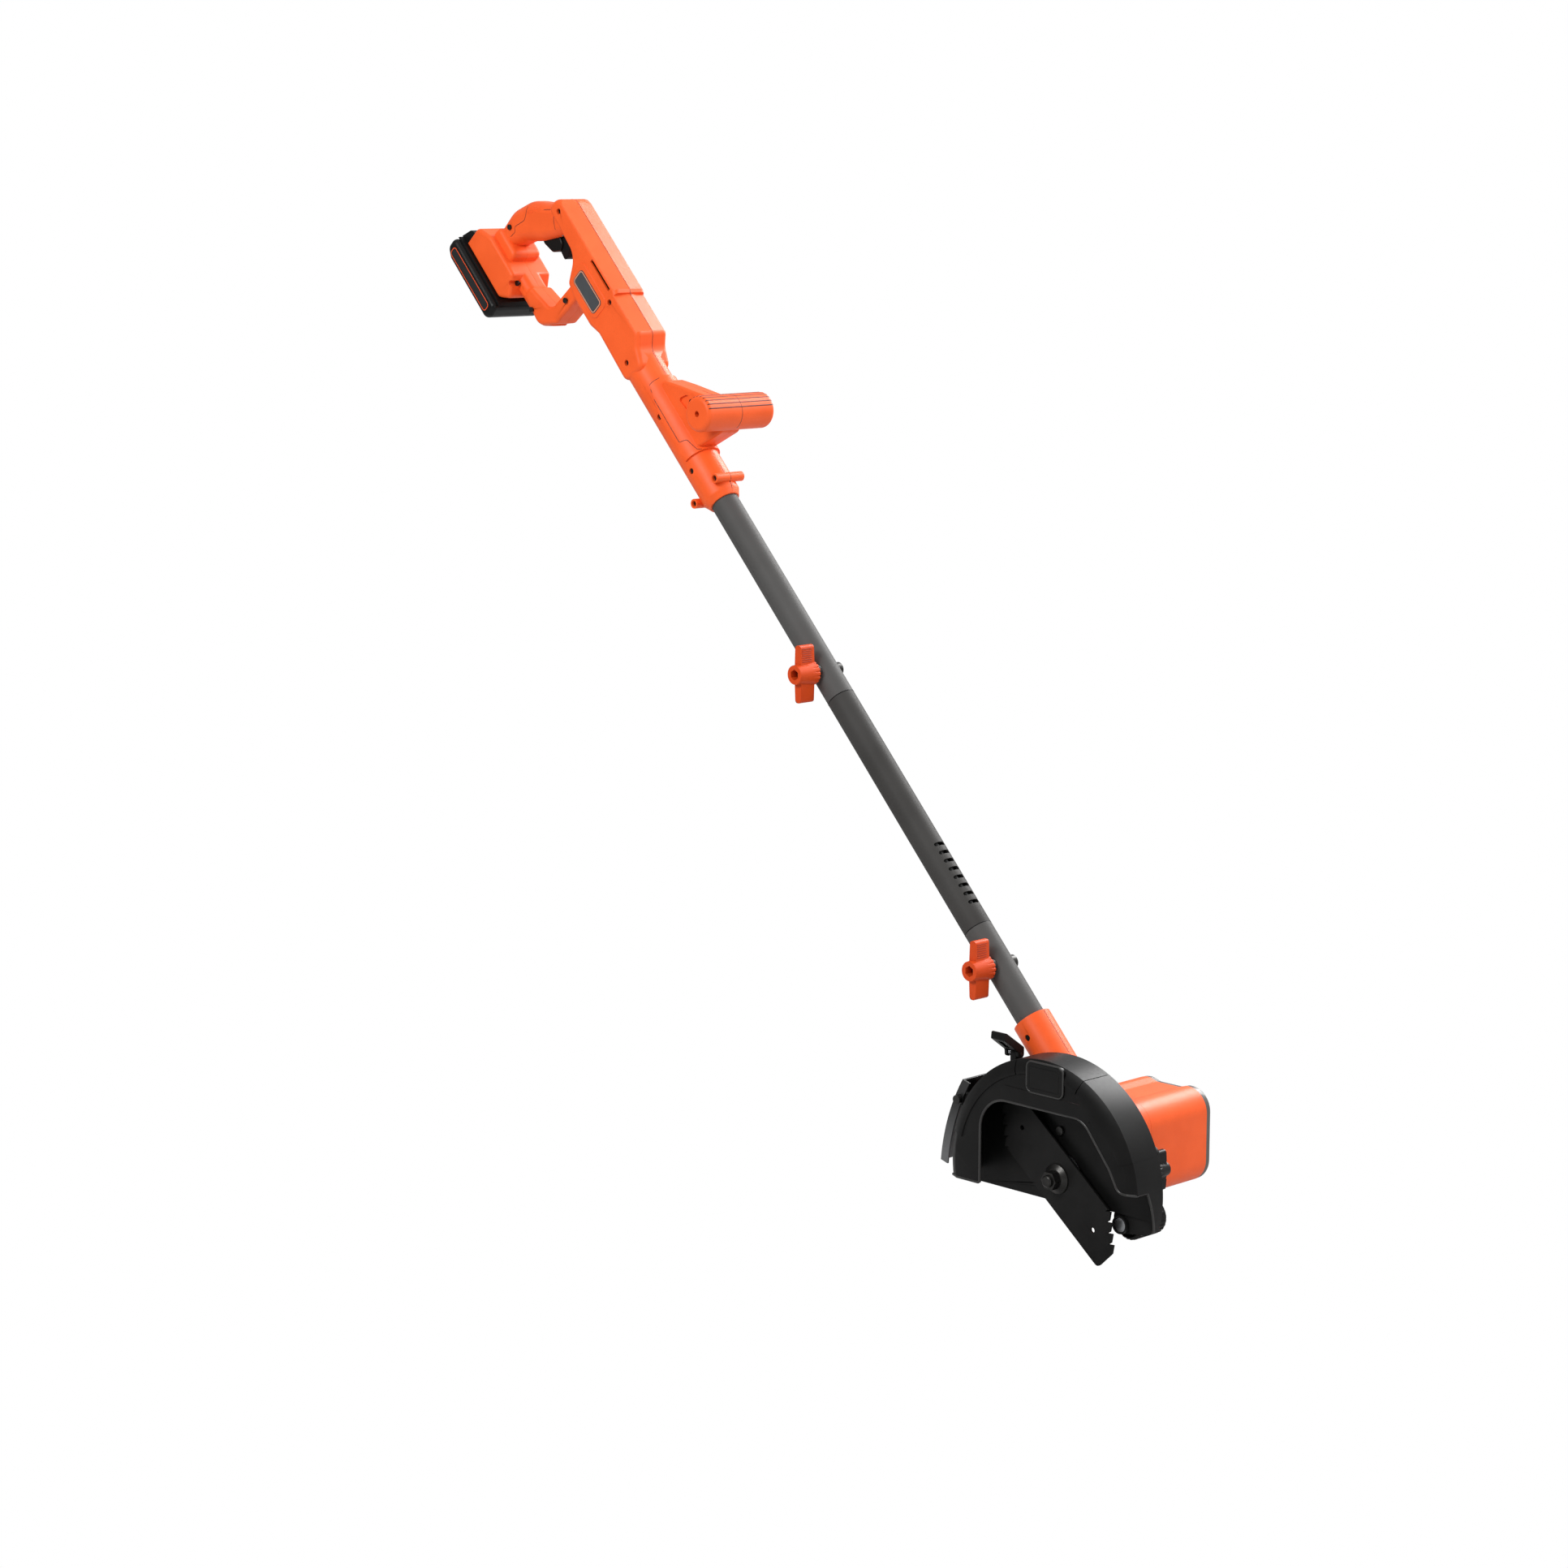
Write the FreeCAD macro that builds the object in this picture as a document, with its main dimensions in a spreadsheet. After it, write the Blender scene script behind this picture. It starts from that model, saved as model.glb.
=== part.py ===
import FreeCAD, Part, Sketcher
import math
import os
from types import SimpleNamespace
from FreeCAD import Placement, Rotation, Vector

# Battery lawn edger. World frame: +Z up, +X the way it travels, +Y from the blade towards the motor.
# The origin is on the blade spindle's axis, in the middle of the blade's thickness. Millimetres and degrees.

SIZES = {
    # how the shaft stands on the cutting head
    "shaft_angle": 47.5, "shaft_offset": 45, "shaft_plane": 36,
    # blade and what clamps it
    "blade_length": 190.5, "blade_width": 57, "blade_thick": 2.5, "blade_tilt": 39.4, "blade_bore": 6.2,
    "blade_teeth": 4, "tooth_depth": 6.5, "tooth_run": 44, "balance_hole": 2.6, "balance_reach": 63,
    "flange_radius": 17, "flange_thick": 4, "dome_radius": 15, "dome_height": 5,
    "nut_flats": 17, "nut_height": 8, "stud_end": 3.5,
    # spindle and the two gear stages
    "spindle_radius": 6, "spindle_back": 58, "running_gap": 0.05, "bearing_radius": 14, "bearing_width": 8,
    "output_module": 1.25, "output_teeth": 34, "idler_pinion_teeth": 17,
    "input_module": 1, "idler_teeth": 45, "motor_pinion_teeth": 15,
    "output_gear_near": 28, "output_gear_width": 8, "input_gear_near": 39, "input_gear_width": 6,
    "idler_shaft": 3, "gear_backlash": 0.35,
    # motor
    "motor_x": 38, "motor_z": 36, "motor_can": 18.5, "motor_wall": 1.6, "motor_length": 52,
    "motor_shaft": 2.5, "rotor_radius": 11.5, "magnet_thick": 3.4, "commutator": 6,
    # motor housing and its neck
    "housing_width": 100, "housing_height": 95, "housing_corner": 24, "housing_near": 15.5,
    "housing_end": 120,
    "housing_wall": 2.8, "channel_width": 40, "channel_depth": 3, "end_cap_depth": 8,
    "neck_radius": 20, "neck_top": 151, "neck_cup": 36, "lead_foot": 52,
    # guard over the blade
    "guard_radius": 121, "guard_x": 4, "guard_z": 3, "guard_wall": 3, "guard_front": 31, "guard_back": 11,
    "guard_bevel": 9, "guard_foot": 14, "guard_rear_foot": 27,
    "window_left": 76, "window_top": 76, "window_right": 90,
    "window_radius": 34, "window_step": 13, "nose_radius": 24, "lip_step": 10, "lip_angle": 20,
    "badge_width": 46, "badge_height": 30, "badge_proud": 2.2,
    # wheel, its sliding bracket and the knob that holds it
    "wheel_x": 74, "wheel_z": -33, "wheel_radius": 18, "wheel_near": 19, "wheel_width": 40, "wheel_bore": 4,
    "tread_count": 24, "bracket_thick": 3, "bracket_gap": 0.4, "bracket_travel": 18, "depth_bolt": 3,
    "depth_x": 109, "depth_z": 26, "depth_reach": 20, "depth_hub": 8.5, "depth_length": 18,
    # debris flap and release lever
    "flap_x": -115, "flap_z": 62, "flap_rise": 21, "flap_drop": 67, "flap_depth": 10, "flap_thick": 1.8,
    "flap_width": 34, "flap_near": 19, "flap_bolt": 2.5, "flap_plate": 2.5,
    "lever_pin_y": 5, "lever_pin_z": 114.5, "lever_pin": 2, "lever_left": -73, "lever_width": 18.5,
    "lever_wall": 3.3, "lug_width": 7.5,
    # tubes of the shaft
    "tube_radius": 15, "tube_wall": 1.5, "lower_exposed": 109, "middle_exposed": 290, "upper_exposed": 258,
    "spigot_depth": 62, "spigot_gap": 0.1, "tube_in_handle": 72, "tube_in_neck": 55,
    "slot_count": 8, "slot_pitch": 10.1, "slot_height": 4, "slot_width": 14, "slot_start": 25,
    "knob_up": 35, "knob_down": 43, "clamp_bolt": 3, "knob_hub": 11.5, "knob_length": 26, "wing_reach": 30,
    "wing_thick": 8, "lead_radius": 3, "lead_offset": 8.5,
    # rear handle
    "handle_half": 22, "handle_wall": 2.8, "collar_radius": 20, "trunk_radius": 21, "screw_radius": 1.6,
    "screw_head": 3.2, "pad_proud": 1, "foot_half": 28, "handle_round": 6, "crown_angle": 8, "grip_half": 17,
    "grip_round": 12, "leg_half": 15, "leg_round": 8,
    "assist_reach": 71, "assist_place": 65, "assist_half": 48, "assist_radius": 19,
    # trigger group
    "trigger_width": 15, "lock_width": 10, "trigger_pin": 2, "lock_pin": 1.5,
    # battery
    "pack_width": 74, "pack_length": 104, "pack_case": 26, "pack_round": 6, "rail_gap": 0.4,
    "cell_radius": 9.1, "cell_length": 65,
}

doc = FreeCAD.newDocument("lawn_edger")
sheet = doc.addObject("Spreadsheet::Sheet", "sizes")
for row, (name, value) in enumerate(SIZES.items(), start=1):
    sheet.set("A%d" % row, name)
    sheet.set("B%d" % row, str(value))
    sheet.setAlias("B%d" % row, name)
doc.recompute()
v = SimpleNamespace(**{name: float(sheet.get(name)) for name in SIZES})

# Frames. Each side frame draws in x and y and grows along its z, which is world -Y,
# from the shaft's plane or the blade's.
AROUND_Y = Placement(Vector(0, 0, 0), Rotation(Vector(1, 0, 0), 90))
HEAD = AROUND_Y
LEAN = Rotation(Vector(0, 1, 0), v.shaft_angle - 90)
SHAFT_FOOT = LEAN.multVec(Vector(v.shaft_offset, 0, 0)) + Vector(0, v.shaft_plane, 0)
TUBE = Placement(SHAFT_FOOT, LEAN)
SHAFT = TUBE * AROUND_Y

lower_joint = v.neck_top + v.lower_exposed
upper_joint = lower_joint + v.middle_exposed
collar = upper_joint + v.upper_exposed
HANDLE = SHAFT * Placement(Vector(0, collar, 0), Rotation())

nodes = []


# Shape helpers: all of them draw in x and y and grow along z.
def chain(points):
    """Closed outline through (x, y, corner radius) points: straight edges joined by tangent arcs."""
    points = [(p + (0,))[:3] for p in points]
    curves = []
    ends = []
    for i, (x, y, radius) in enumerate(points):
        corner = Vector(x, y, 0)
        back = Vector(*points[i - 1][:2], 0) - corner
        ahead = Vector(*points[(i + 1) % len(points)][:2], 0) - corner
        back.normalize()
        ahead.normalize()
        if not radius:
            ends.append((corner, None, corner))
            continue
        half = back.getAngle(ahead) / 2
        reach = radius / math.tan(half)
        inward = (back + ahead).normalize()
        middle = corner + inward * (radius / math.sin(half) - radius)
        ends.append((corner + back * reach, middle, corner + ahead * reach))
    for i, (start, middle, stop) in enumerate(ends):
        before = ends[i - 1][2]
        if before.distanceToPoint(start) > 1e-4:
            curves.append(Part.LineSegment(before, start))
        if middle is not None:
            curves.append(Part.Arc(start, middle, stop))
    return curves


def face(points):
    return Part.Face(Part.Wire([curve.toShape() for curve in chain(points)]))


def slab(points, low, high):
    """Outline grown along z from low to high."""
    shape = face(points)
    shape.translate(Vector(0, 0, low))
    return shape.extrude(Vector(0, 0, high - low))


def rod(x, y, radius, low, high):
    return Part.makeCylinder(radius, high - low, Vector(x, y, low))


def ring(x, y, outer, inner, low, high):
    return rod(x, y, outer, low, high).cut(rod(x, y, inner, low - 1, high + 1))


def block(x0, x1, y0, y1, z0, z1):
    return Part.makeBox(x1 - x0, y1 - y0, z1 - z0, Vector(x0, y0, z0))


def across(width, height, radius, x=0.0, y=0.0):
    """Rounded rectangle's corner points about (x, y)."""
    corners = ((-1, -1), (1, -1), (1, 1), (-1, 1))
    return [(x + sx * width / 2, y + sy * height / 2, radius) for sx, sy in corners]


def hexagon(flats, x=0.0, y=0.0):
    reach = flats / math.sqrt(3)
    return [(x + reach * math.cos(math.pi * k / 3), y + reach * math.sin(math.pi * k / 3)) for k in range(6)]


def join(shapes):
    """One solid from overlapping solids."""
    first = shapes[0]
    if len(shapes) > 1:
        first = first.fuse(shapes[1:])
    return first.removeSplitter()


def soften(shape, radius, wanted):
    """Fillet of the edges that the test picks."""
    edges = [edge for edge in shape.Edges if wanted(edge)]
    return shape.makeFillet(radius, edges)


def add(label, shape, placement):
    """A sub-part whose shape is set here from the sheet's values."""
    part = doc.addObject("Part::Feature", label)
    part.Label = label
    part.Shape = shape
    part.Placement = placement
    nodes.append(part)
    return part


def add_group(label, shapes, placement):
    """Several separate solids of one kind in one node."""
    return add(label, Part.makeCompound(shapes), placement)


# Feature helpers: a PartDesign body whose sketches lie across its own z axis.
def new_body(label, placement):
    body = doc.addObject("PartDesign::Body", label)
    body.Label = label
    body.Placement = placement
    nodes.append(body)
    return body


def plane_of(body, role):
    return next(item for item in body.Origin.OriginFeatures if item.Role == role)


def sketch(body, curves, start="0", role="XY_Plane"):
    """Sketch on the body's own plane, lifted to start, an expression in the sheet's names."""
    drawing = body.newObject("Sketcher::SketchObject", body.Label + "_sketch")
    drawing.AttachmentSupport = [(plane_of(body, role), "")]
    drawing.MapMode = "FlatFace"
    if start != "0":
        drawing.setExpression("AttachmentOffset.Base.z", start)
    for curve in curves:
        if isinstance(curve, tuple):
            x, y, radius = curve
            index = drawing.addGeometry(Part.Circle(Vector(x, y, 0), Vector(0, 0, 1), 1), False)
            number = drawing.addConstraint(Sketcher.Constraint("Radius", index, 1.0))
            drawing.setExpression("Constraints[%d]" % number, radius)
        else:
            drawing.addGeometry(curve, False)
    return drawing


def pad(body, curves, length, start="0"):
    feature = body.newObject("PartDesign::Pad", body.Label + "_pad")
    feature.Profile = sketch(body, curves, start)
    feature.setExpression("Length", length)
    return feature


def pocket(body, curves, length, start):
    """Cut that goes down from start by length."""
    drawing = sketch(body, curves, start)
    doc.recompute()
    feature = body.newObject("PartDesign::Pocket", body.Label + "_pocket")
    feature.Profile = drawing
    feature.setExpression("Length", length)
    return feature


def turn(body, curves, groove=False):
    """Profile of (radius, height) curves turned about the body's z axis."""
    drawing = sketch(body, curves, role="XZ_Plane")
    doc.recompute()
    kind = "PartDesign::Groove" if groove else "PartDesign::Revolution"
    feature = body.newObject(kind, body.Label + "_turn")
    feature.Profile = drawing
    feature.ReferenceAxis = (drawing, ["V_Axis"])
    feature.Angle = 360
    return feature


def around(body, feature, count):
    """The feature repeated evenly about the body's z axis."""
    doc.recompute()
    pattern = body.newObject("PartDesign::PolarPattern", body.Label + "_pattern")
    pattern.Originals = [feature]
    pattern.Axis = (plane_of(body, "Z_Axis"), [""])
    pattern.Angle = 360
    pattern.setExpression("Occurrences", count)
    body.Tip = pattern
    return pattern


# Cutting head ------------------------------------------------------------------------------------

def blade_outline():
    """Flat bar whose two ends are cut back on the leading side by a slope of saw teeth."""
    half_length = v.blade_length / 2 - 1
    half_width = v.blade_width / 2
    count = int(v.blade_teeth)
    start = Vector(half_length, half_width - v.tooth_run + 14, 0)
    end = Vector(half_length - v.tooth_run + 12, half_width, 0)
    run = (end - start) / count
    out = Vector(run.y, -run.x, 0).normalize() * v.tooth_depth
    side = [(half_length - 3, -half_width + 2, 5)]
    for k in range(count):
        root = start + run * k
        side.append((root.x, root.y))
        tip = root + run * 0.8 + out * 0.45
        side.append((tip.x, tip.y))
        back = root + run * 0.84 - out * 0.55
        side.append((back.x, back.y))
    side.append((end.x, end.y))
    return side + [(-x, -y, *rest) for x, y, *rest in side]


BLADE = Placement(Vector(0, 0, 0), Rotation(Vector(0, 1, 0), v.blade_tilt)) * HEAD
blade = new_body("blade", BLADE)
pad(blade, chain(blade_outline()), "sizes.blade_thick", "-sizes.blade_thick / 2")
pocket(blade, [(0, 0, "sizes.blade_bore"), (v.balance_reach, -3, "sizes.balance_hole"),
               (-v.balance_reach, 3, "sizes.balance_hole")], "2 * sizes.blade_thick", "sizes.blade_thick")

blade_face = v.blade_thick / 2
inner_flange = new_body("inner_flange", HEAD)
pad(inner_flange, [(0, 0, "sizes.flange_radius"), (0, 0, "sizes.blade_bore")], "sizes.flange_thick",
    "-sizes.blade_thick / 2 - sizes.flange_thick")

washer = new_body("dome_washer", HEAD)
rim = v.dome_radius
turn(washer, chain([(v.blade_bore, blade_face), (rim, blade_face), (rim, blade_face + 1.5),
                    (rim - 5, blade_face + v.dome_height, 3), (v.blade_bore, blade_face + v.dome_height)]))

nut_seat = blade_face + v.dome_height
blade_nut = new_body("blade_nut", HEAD)
pad(blade_nut, chain(hexagon(v.nut_flats)), "sizes.nut_height",
    "sizes.blade_thick / 2 + sizes.dome_height")
pocket(blade_nut, [(0, 0, "sizes.spindle_radius")], "2 * sizes.nut_height",
       "sizes.blade_thick / 2 + sizes.dome_height + 1.5 * sizes.nut_height")

stud_tip = nut_seat + v.nut_height + v.stud_end
spindle = new_body("spindle", HEAD)
radius = v.spindle_radius
turn(spindle, chain([(0, -v.spindle_back), (radius, -v.spindle_back), (radius, stud_tip - 1.2),
                     (radius - 1.2, stud_tip), (0, stud_tip)]))

FRONT_BEARING = v.guard_back - 1
REAR_PLATE = v.spindle_back - v.bearing_width - 2
add_group("spindle_bearings", [
    ring(0, 0, v.bearing_radius, radius + v.running_gap, -near - v.bearing_width, -near)
    for near in (FRONT_BEARING, REAR_PLATE + 1)], HEAD)

# Gear train: blade spindle, idler and motor pinion, in mesh at rest.
output_pitch = v.output_module * v.output_teeth / 2
idler_small = v.output_module * v.idler_pinion_teeth / 2
idler_large = v.input_module * v.idler_teeth / 2
pinion_pitch = v.input_module * v.motor_pinion_teeth / 2
first_centres = output_pitch + idler_small
second_centres = idler_large + pinion_pitch
motor_reach = math.hypot(v.motor_x, v.motor_z)
along = (first_centres ** 2 - second_centres ** 2 + motor_reach ** 2) / (2 * motor_reach)
aside = math.sqrt(first_centres ** 2 - along ** 2)
idler_x = (v.motor_x * along - v.motor_z * aside) / motor_reach
idler_z = (v.motor_z * along + v.motor_x * aside) / motor_reach


def gear_face(x, z, module, teeth, toward):
    """Spur gear of involute flanks whose first tooth, or gap if toward is negative, points at an angle."""
    teeth = int(teeth)
    pitch = module * teeth / 2
    base = pitch * math.cos(math.radians(20))
    tip = pitch + module
    root = pitch - 1.25 * module
    start = max(root, base)
    roll = math.tan(math.radians(20)) - math.radians(20)
    thick = math.pi / teeth - v.gear_backlash / pitch
    points = []
    for k in range(teeth):
        centre = toward + 2 * math.pi * k / teeth
        flank = []
        for step in range(4):
            r = start + (tip - start) * step / 3
            turn_of = math.acos(min(1, base / r))
            half = thick / 2 + roll - (math.tan(turn_of) - turn_of)
            flank.append((r, half))
        foot = (root, flank[0][1] + 0.02)
        for r, half in [foot] + flank:
            points.append((x + r * math.cos(centre - half), z + r * math.sin(centre - half)))
        for r, half in reversed([foot] + flank):
            points.append((x + r * math.cos(centre + half), z + r * math.sin(centre + half)))
    return points


def gear(x, z, module, teeth, toward, bore, near, width):
    body = slab(gear_face(x, z, module, teeth, toward), -near - width, -near)
    return body.cut(rod(x, z, bore, -near - width - 1, -near + 1)) if bore else body


to_idler = math.atan2(idler_z, idler_x)
to_motor = math.atan2(v.motor_z - idler_z, v.motor_x - idler_x)
add("output_gear", gear(0, 0, v.output_module, v.output_teeth, to_idler, radius,
                        v.output_gear_near, v.output_gear_width), HEAD)
gap_angle = math.pi / v.idler_pinion_teeth
small = gear(idler_x, idler_z, v.output_module, v.idler_pinion_teeth, to_idler + math.pi + gap_angle, 0,
             v.output_gear_near - 1, v.output_gear_width + 3.5)
large = gear(idler_x, idler_z, v.input_module, v.idler_teeth, to_motor, 0,
             v.input_gear_near, v.input_gear_width)
idler_low, idler_high = -REAR_PLATE - 3.5, -v.guard_back - 8
idler_axle = rod(idler_x, idler_z, v.idler_shaft, idler_low, idler_high)
add("idler_gear", join([small, large, idler_axle]), HEAD)
gap_angle = math.pi / v.motor_pinion_teeth
add("motor_pinion", gear(v.motor_x, v.motor_z, v.input_module, v.motor_pinion_teeth,
                         to_motor + math.pi + gap_angle, v.motor_shaft, v.input_gear_near,
                         v.input_gear_width), HEAD)

# Motor: can, magnets, brushes and a rotor with its fan.
mx, mz = v.motor_x, v.motor_z
can_near = REAR_PLATE + 3.5
can_far = can_near + v.motor_length
can_inside = v.motor_can - v.motor_wall
can = rod(mx, mz, v.motor_can, -can_far, -can_near)
can = can.cut(rod(mx, mz, can_inside, -can_far + 2, -can_near - 2))
can = can.cut(rod(mx, mz, v.motor_shaft + v.running_gap, -can_far - 1, -can_near + 1))
add("motor_can", can, HEAD)
magnet_ring = ring(mx, mz, can_inside, can_inside - v.magnet_thick, -can_far + 14, -can_near - 5)
sides = [block(mx + side * 6 - (side < 0) * 20, mx + side * 6 + (side > 0) * 20, mz - 20, mz + 20,
               -can_far, -can_near) for side in (-1, 1)]
add_group("motor_magnets", [magnet_ring.common(side) for side in sides], HEAD)
brush_reach = can_inside - 0.4
brushes = [block(*sorted((mx + side * v.commutator, mx + side * brush_reach)), mz - 2.5, mz + 2.5,
                 -can_far + 4, -can_far + 9) for side in (-1, 1)]
collars = rod(mx, mz, v.commutator + 0.3, -can_far, -can_near)
add_group("motor_brushes", [brush.cut(collars) for brush in brushes], HEAD)
fan_near = can_far + 2.5
rotor = join([rod(mx, mz, v.motor_shaft, -fan_near - 6, -v.input_gear_near + 0.5),
              rod(mx, mz, v.rotor_radius, -can_far + 14, -can_near - 6),
              rod(mx, mz, v.commutator, -can_far + 3.5, -can_far + 13)])
add("motor_rotor", rotor, HEAD)
fan_parts = [rod(mx, mz, 16, -fan_near - 1.5, -fan_near), rod(mx, mz, 6, -fan_near - 6, -fan_near)]
for k in range(9):
    vane = block(5.5, 15.5, -0.6, 0.6, -fan_near - 6, -fan_near - 1)
    vane.rotate(Vector(0, 0, 0), Vector(0, 0, 1), 40 * k)
    vane.translate(Vector(mx, mz, 0))
    fan_parts.append(vane)
fan = join(fan_parts).cut(rod(mx, mz, v.motor_shaft, -fan_near - 10, -fan_near + 1))
add("motor_fan", fan, HEAD)

# Carriers: the front one is a nose that also locates the guard, the rear one holds the motor.
wall = v.housing_wall
LOBE = [(-26, -26, 25), (30, -26, 25), (60, 20, 5), (20, 70, 5), (-26, 46, 20)]


def main_section(grow=0.0, radius=v.housing_corner):
    """Rounded square of the motor housing with a shallow channel along its top."""
    half = v.housing_width / 2 + grow
    top = mz + v.housing_height / 2 + grow
    foot = mz - v.housing_height / 2 - grow
    lip = v.channel_width / 2
    dip = top - v.channel_depth
    return [(mx - half, foot, radius), (mx + half, foot, radius), (mx + half, top - 1, radius),
            (mx + lip + 4, top, 6), (mx + lip - 6, dip, 12), (mx - lip + 6, dip, 12), (mx - lip - 4, top, 6),
            (mx - half, top - 1, radius)]


def thin(points, wall):
    """The outline drawn in by a wall's thickness."""
    return face(points).makeOffset2D(-wall)


def grow_face(shape, low, high):
    shape = shape.copy()
    shape.translate(Vector(0, 0, low))
    return shape.extrude(Vector(0, 0, high - low))


nose_near = v.guard_back - 3
flange_near = v.housing_near + wall + 0.1
carrier = join([rod(0, 0, v.nose_radius - 0.3, -flange_near - 2, -nose_near),
                grow_face(thin(LOBE, wall + 0.3), -flange_near - 3.5, -flange_near)])
carrier = carrier.cut(rod(0, 0, v.bearing_radius, -flange_near - 4, -FRONT_BEARING))
carrier = carrier.cut(rod(0, 0, radius + 2.5, -flange_near, 0))
idler_bore = rod(idler_x, idler_z, v.idler_shaft + v.running_gap, -flange_near - 4, idler_high + 0.3)
carrier = carrier.cut(idler_bore)
MOUNT_SCREWS = [(-20, -10), (-4, 46), (21, -13)]
for x, z in MOUNT_SCREWS:
    carrier = carrier.cut(rod(x, z, v.screw_radius, -40, 0))
add("gear_carrier", carrier, HEAD)

plate_low = -REAR_PLATE - 3.5
plate_width = v.housing_width - 2 * wall - 8
plate = join([grow_face(thin(LOBE, wall + 0.3), plate_low, -REAR_PLATE),
              slab(across(plate_width, v.housing_height - 30, 18, mx, mz), plate_low, -REAR_PLATE),
              rod(0, 0, v.bearing_radius + 3, -REAR_PLATE - v.bearing_width - 1, -REAR_PLATE)])
plate = plate.cut(rod(0, 0, v.bearing_radius, -REAR_PLATE - v.bearing_width - 2, -REAR_PLATE - 1))
plate = plate.cut(rod(0, 0, radius + 2, -REAR_PLATE - 2, 0))
plate = plate.cut(rod(idler_x, idler_z, v.idler_shaft + v.running_gap, plate_low - 1, 0))
plate = plate.cut(rod(mx, mz, v.motor_shaft + 4, plate_low - 1, 0))
add("motor_plate", plate, HEAD)

# Housing halves: near and far of the shaft's plane, each with its half of the neck.
TO_HEAD = HEAD.inverse() * TUBE


def on_shaft(radius, low, high):
    """Cylinder along the shaft between two distances, drawn in the head's frame."""
    shape = Part.makeCylinder(radius, high - low, Vector(0, 0, low))
    shape.transformShape(TO_HEAD.toMatrix())
    return shape


outer_end = -v.housing_end
shell_outer = grow_face(face(main_section()), outer_end, -v.housing_near)
lobe_outer = slab(LOBE, -v.spindle_back - 4, -v.housing_near)
neck_outer = on_shaft(v.neck_radius, v.neck_cup, v.neck_top)
cavity = join([grow_face(thin(main_section(), wall), outer_end - 1, -v.housing_near - wall),
               grow_face(thin(LOBE, wall), -v.spindle_back - 4 + wall, -v.housing_near - wall)])
neck_floor = v.neck_top - v.tube_in_neck
neck_hole = on_shaft(v.tube_radius - v.tube_wall, v.neck_cup - 30, v.neck_top + 1)
tube_seat = on_shaft(v.tube_radius + 0.02, neck_floor, v.neck_top + 1)
neck_step = v.neck_top - 18
neck_screw_place = HEAD.inverse().multVec(SHAFT.multVec(Vector(0, neck_step, 0)))
housing = join([shell_outer, lobe_outer, neck_outer]).cut(cavity).cut(neck_hole).cut(tube_seat)
housing = housing.cut(rod(0, 0, v.nose_radius, -30, 0))
housing = housing.cut(rod(neck_screw_place.x, neck_screw_place.y, v.screw_radius, -80, 0))
housing = housing.cut(rod(neck_screw_place.x, neck_screw_place.y, v.screw_head, -v.shaft_plane + 17, 0))
for x, z in MOUNT_SCREWS:
    housing = housing.cut(rod(x, z, v.screw_radius, -30, 0))
near_side = block(-400, 400, -400, 400, -v.shaft_plane, 100)
add("motor_housing_left", housing.common(near_side), HEAD)
add("motor_housing_right", housing.cut(near_side), HEAD)
end_cap = grow_face(face(main_section(-0.4, v.housing_corner - 1)), outer_end - v.end_cap_depth, outer_end)
far_edges = outer_end - v.end_cap_depth
end_cap = soften(end_cap, 4, lambda e: e.BoundBox.ZMax < far_edges + 0.01)
end_cap = end_cap.cut(grow_face(thin(main_section(-0.4), wall + 2), outer_end - v.end_cap_depth + 2.5,
                                outer_end + 1))
add("motor_end_cap", end_cap, HEAD)
neck_screw = join([rod(neck_screw_place.x, neck_screw_place.y, v.screw_radius, -v.shaft_plane - 16,
                       -v.shaft_plane + 15),
                   rod(neck_screw_place.x, neck_screw_place.y, v.screw_head - 0.2, -v.shaft_plane + 17,
                       -v.shaft_plane + 19)])

# Guard over the blade -----------------------------------------------------------------------------
gx, gz = v.guard_x, v.guard_z
front, back = v.guard_front, v.guard_back


def guard_form(radius, low, high, bevel):
    """Round body whose front rim is bevelled."""
    straight = rod(gx, gz, radius, low, high - bevel * 0.55)
    slope = Part.makeCone(radius, radius - bevel, bevel * 0.55, Vector(gx, gz, high - bevel * 0.55))
    return join([straight, slope])


g_wall = v.guard_wall
g_reach = v.guard_radius
guard = guard_form(g_reach, -back, front, v.guard_bevel)
guard = guard.cut(guard_form(g_reach - g_wall, -back + g_wall, front - g_wall, v.guard_bevel))
guard = guard.cut(block(-200, 60, -200, -v.guard_foot, -back + g_wall, 60))
guard = guard.cut(block(-200, 60, -200, -v.guard_rear_foot, -back - 1, 60))
guard = guard.cut(block(59, 112, -200, -22, -60, 60))
guard = guard.cut(block(59, 200, -200, -30, -60, 60))
window = [(-v.window_left, -60), (-v.window_left, v.window_top, v.window_radius),
          (v.window_right - 32, v.window_top, 24), (v.window_right + 3, v.window_step + 20, 60),
          (v.window_right + 14, v.window_step, 10), (200, v.window_step), (200, -60)]
guard = guard.cut(slab(window, front - g_wall - 3, front + 5))
guard = guard.cut(block(100, 200, -60, v.window_step, v.lip_step, front + 5))
lip_wedge = Part.makeBox(100, 60, 60, Vector(100, -60, 0))
lip_wedge.rotate(Vector(), Vector(1, 0, 0), v.lip_angle)
lip_wedge.translate(Vector(0, v.window_step, v.lip_step))
guard = guard.cut(lip_wedge)
guard = guard.cut(rod(0, 0, v.nose_radius, -60, 0))
for x, z in MOUNT_SCREWS:
    guard = guard.cut(rod(x, z, v.screw_radius + 0.2, -60, 0))
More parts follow.
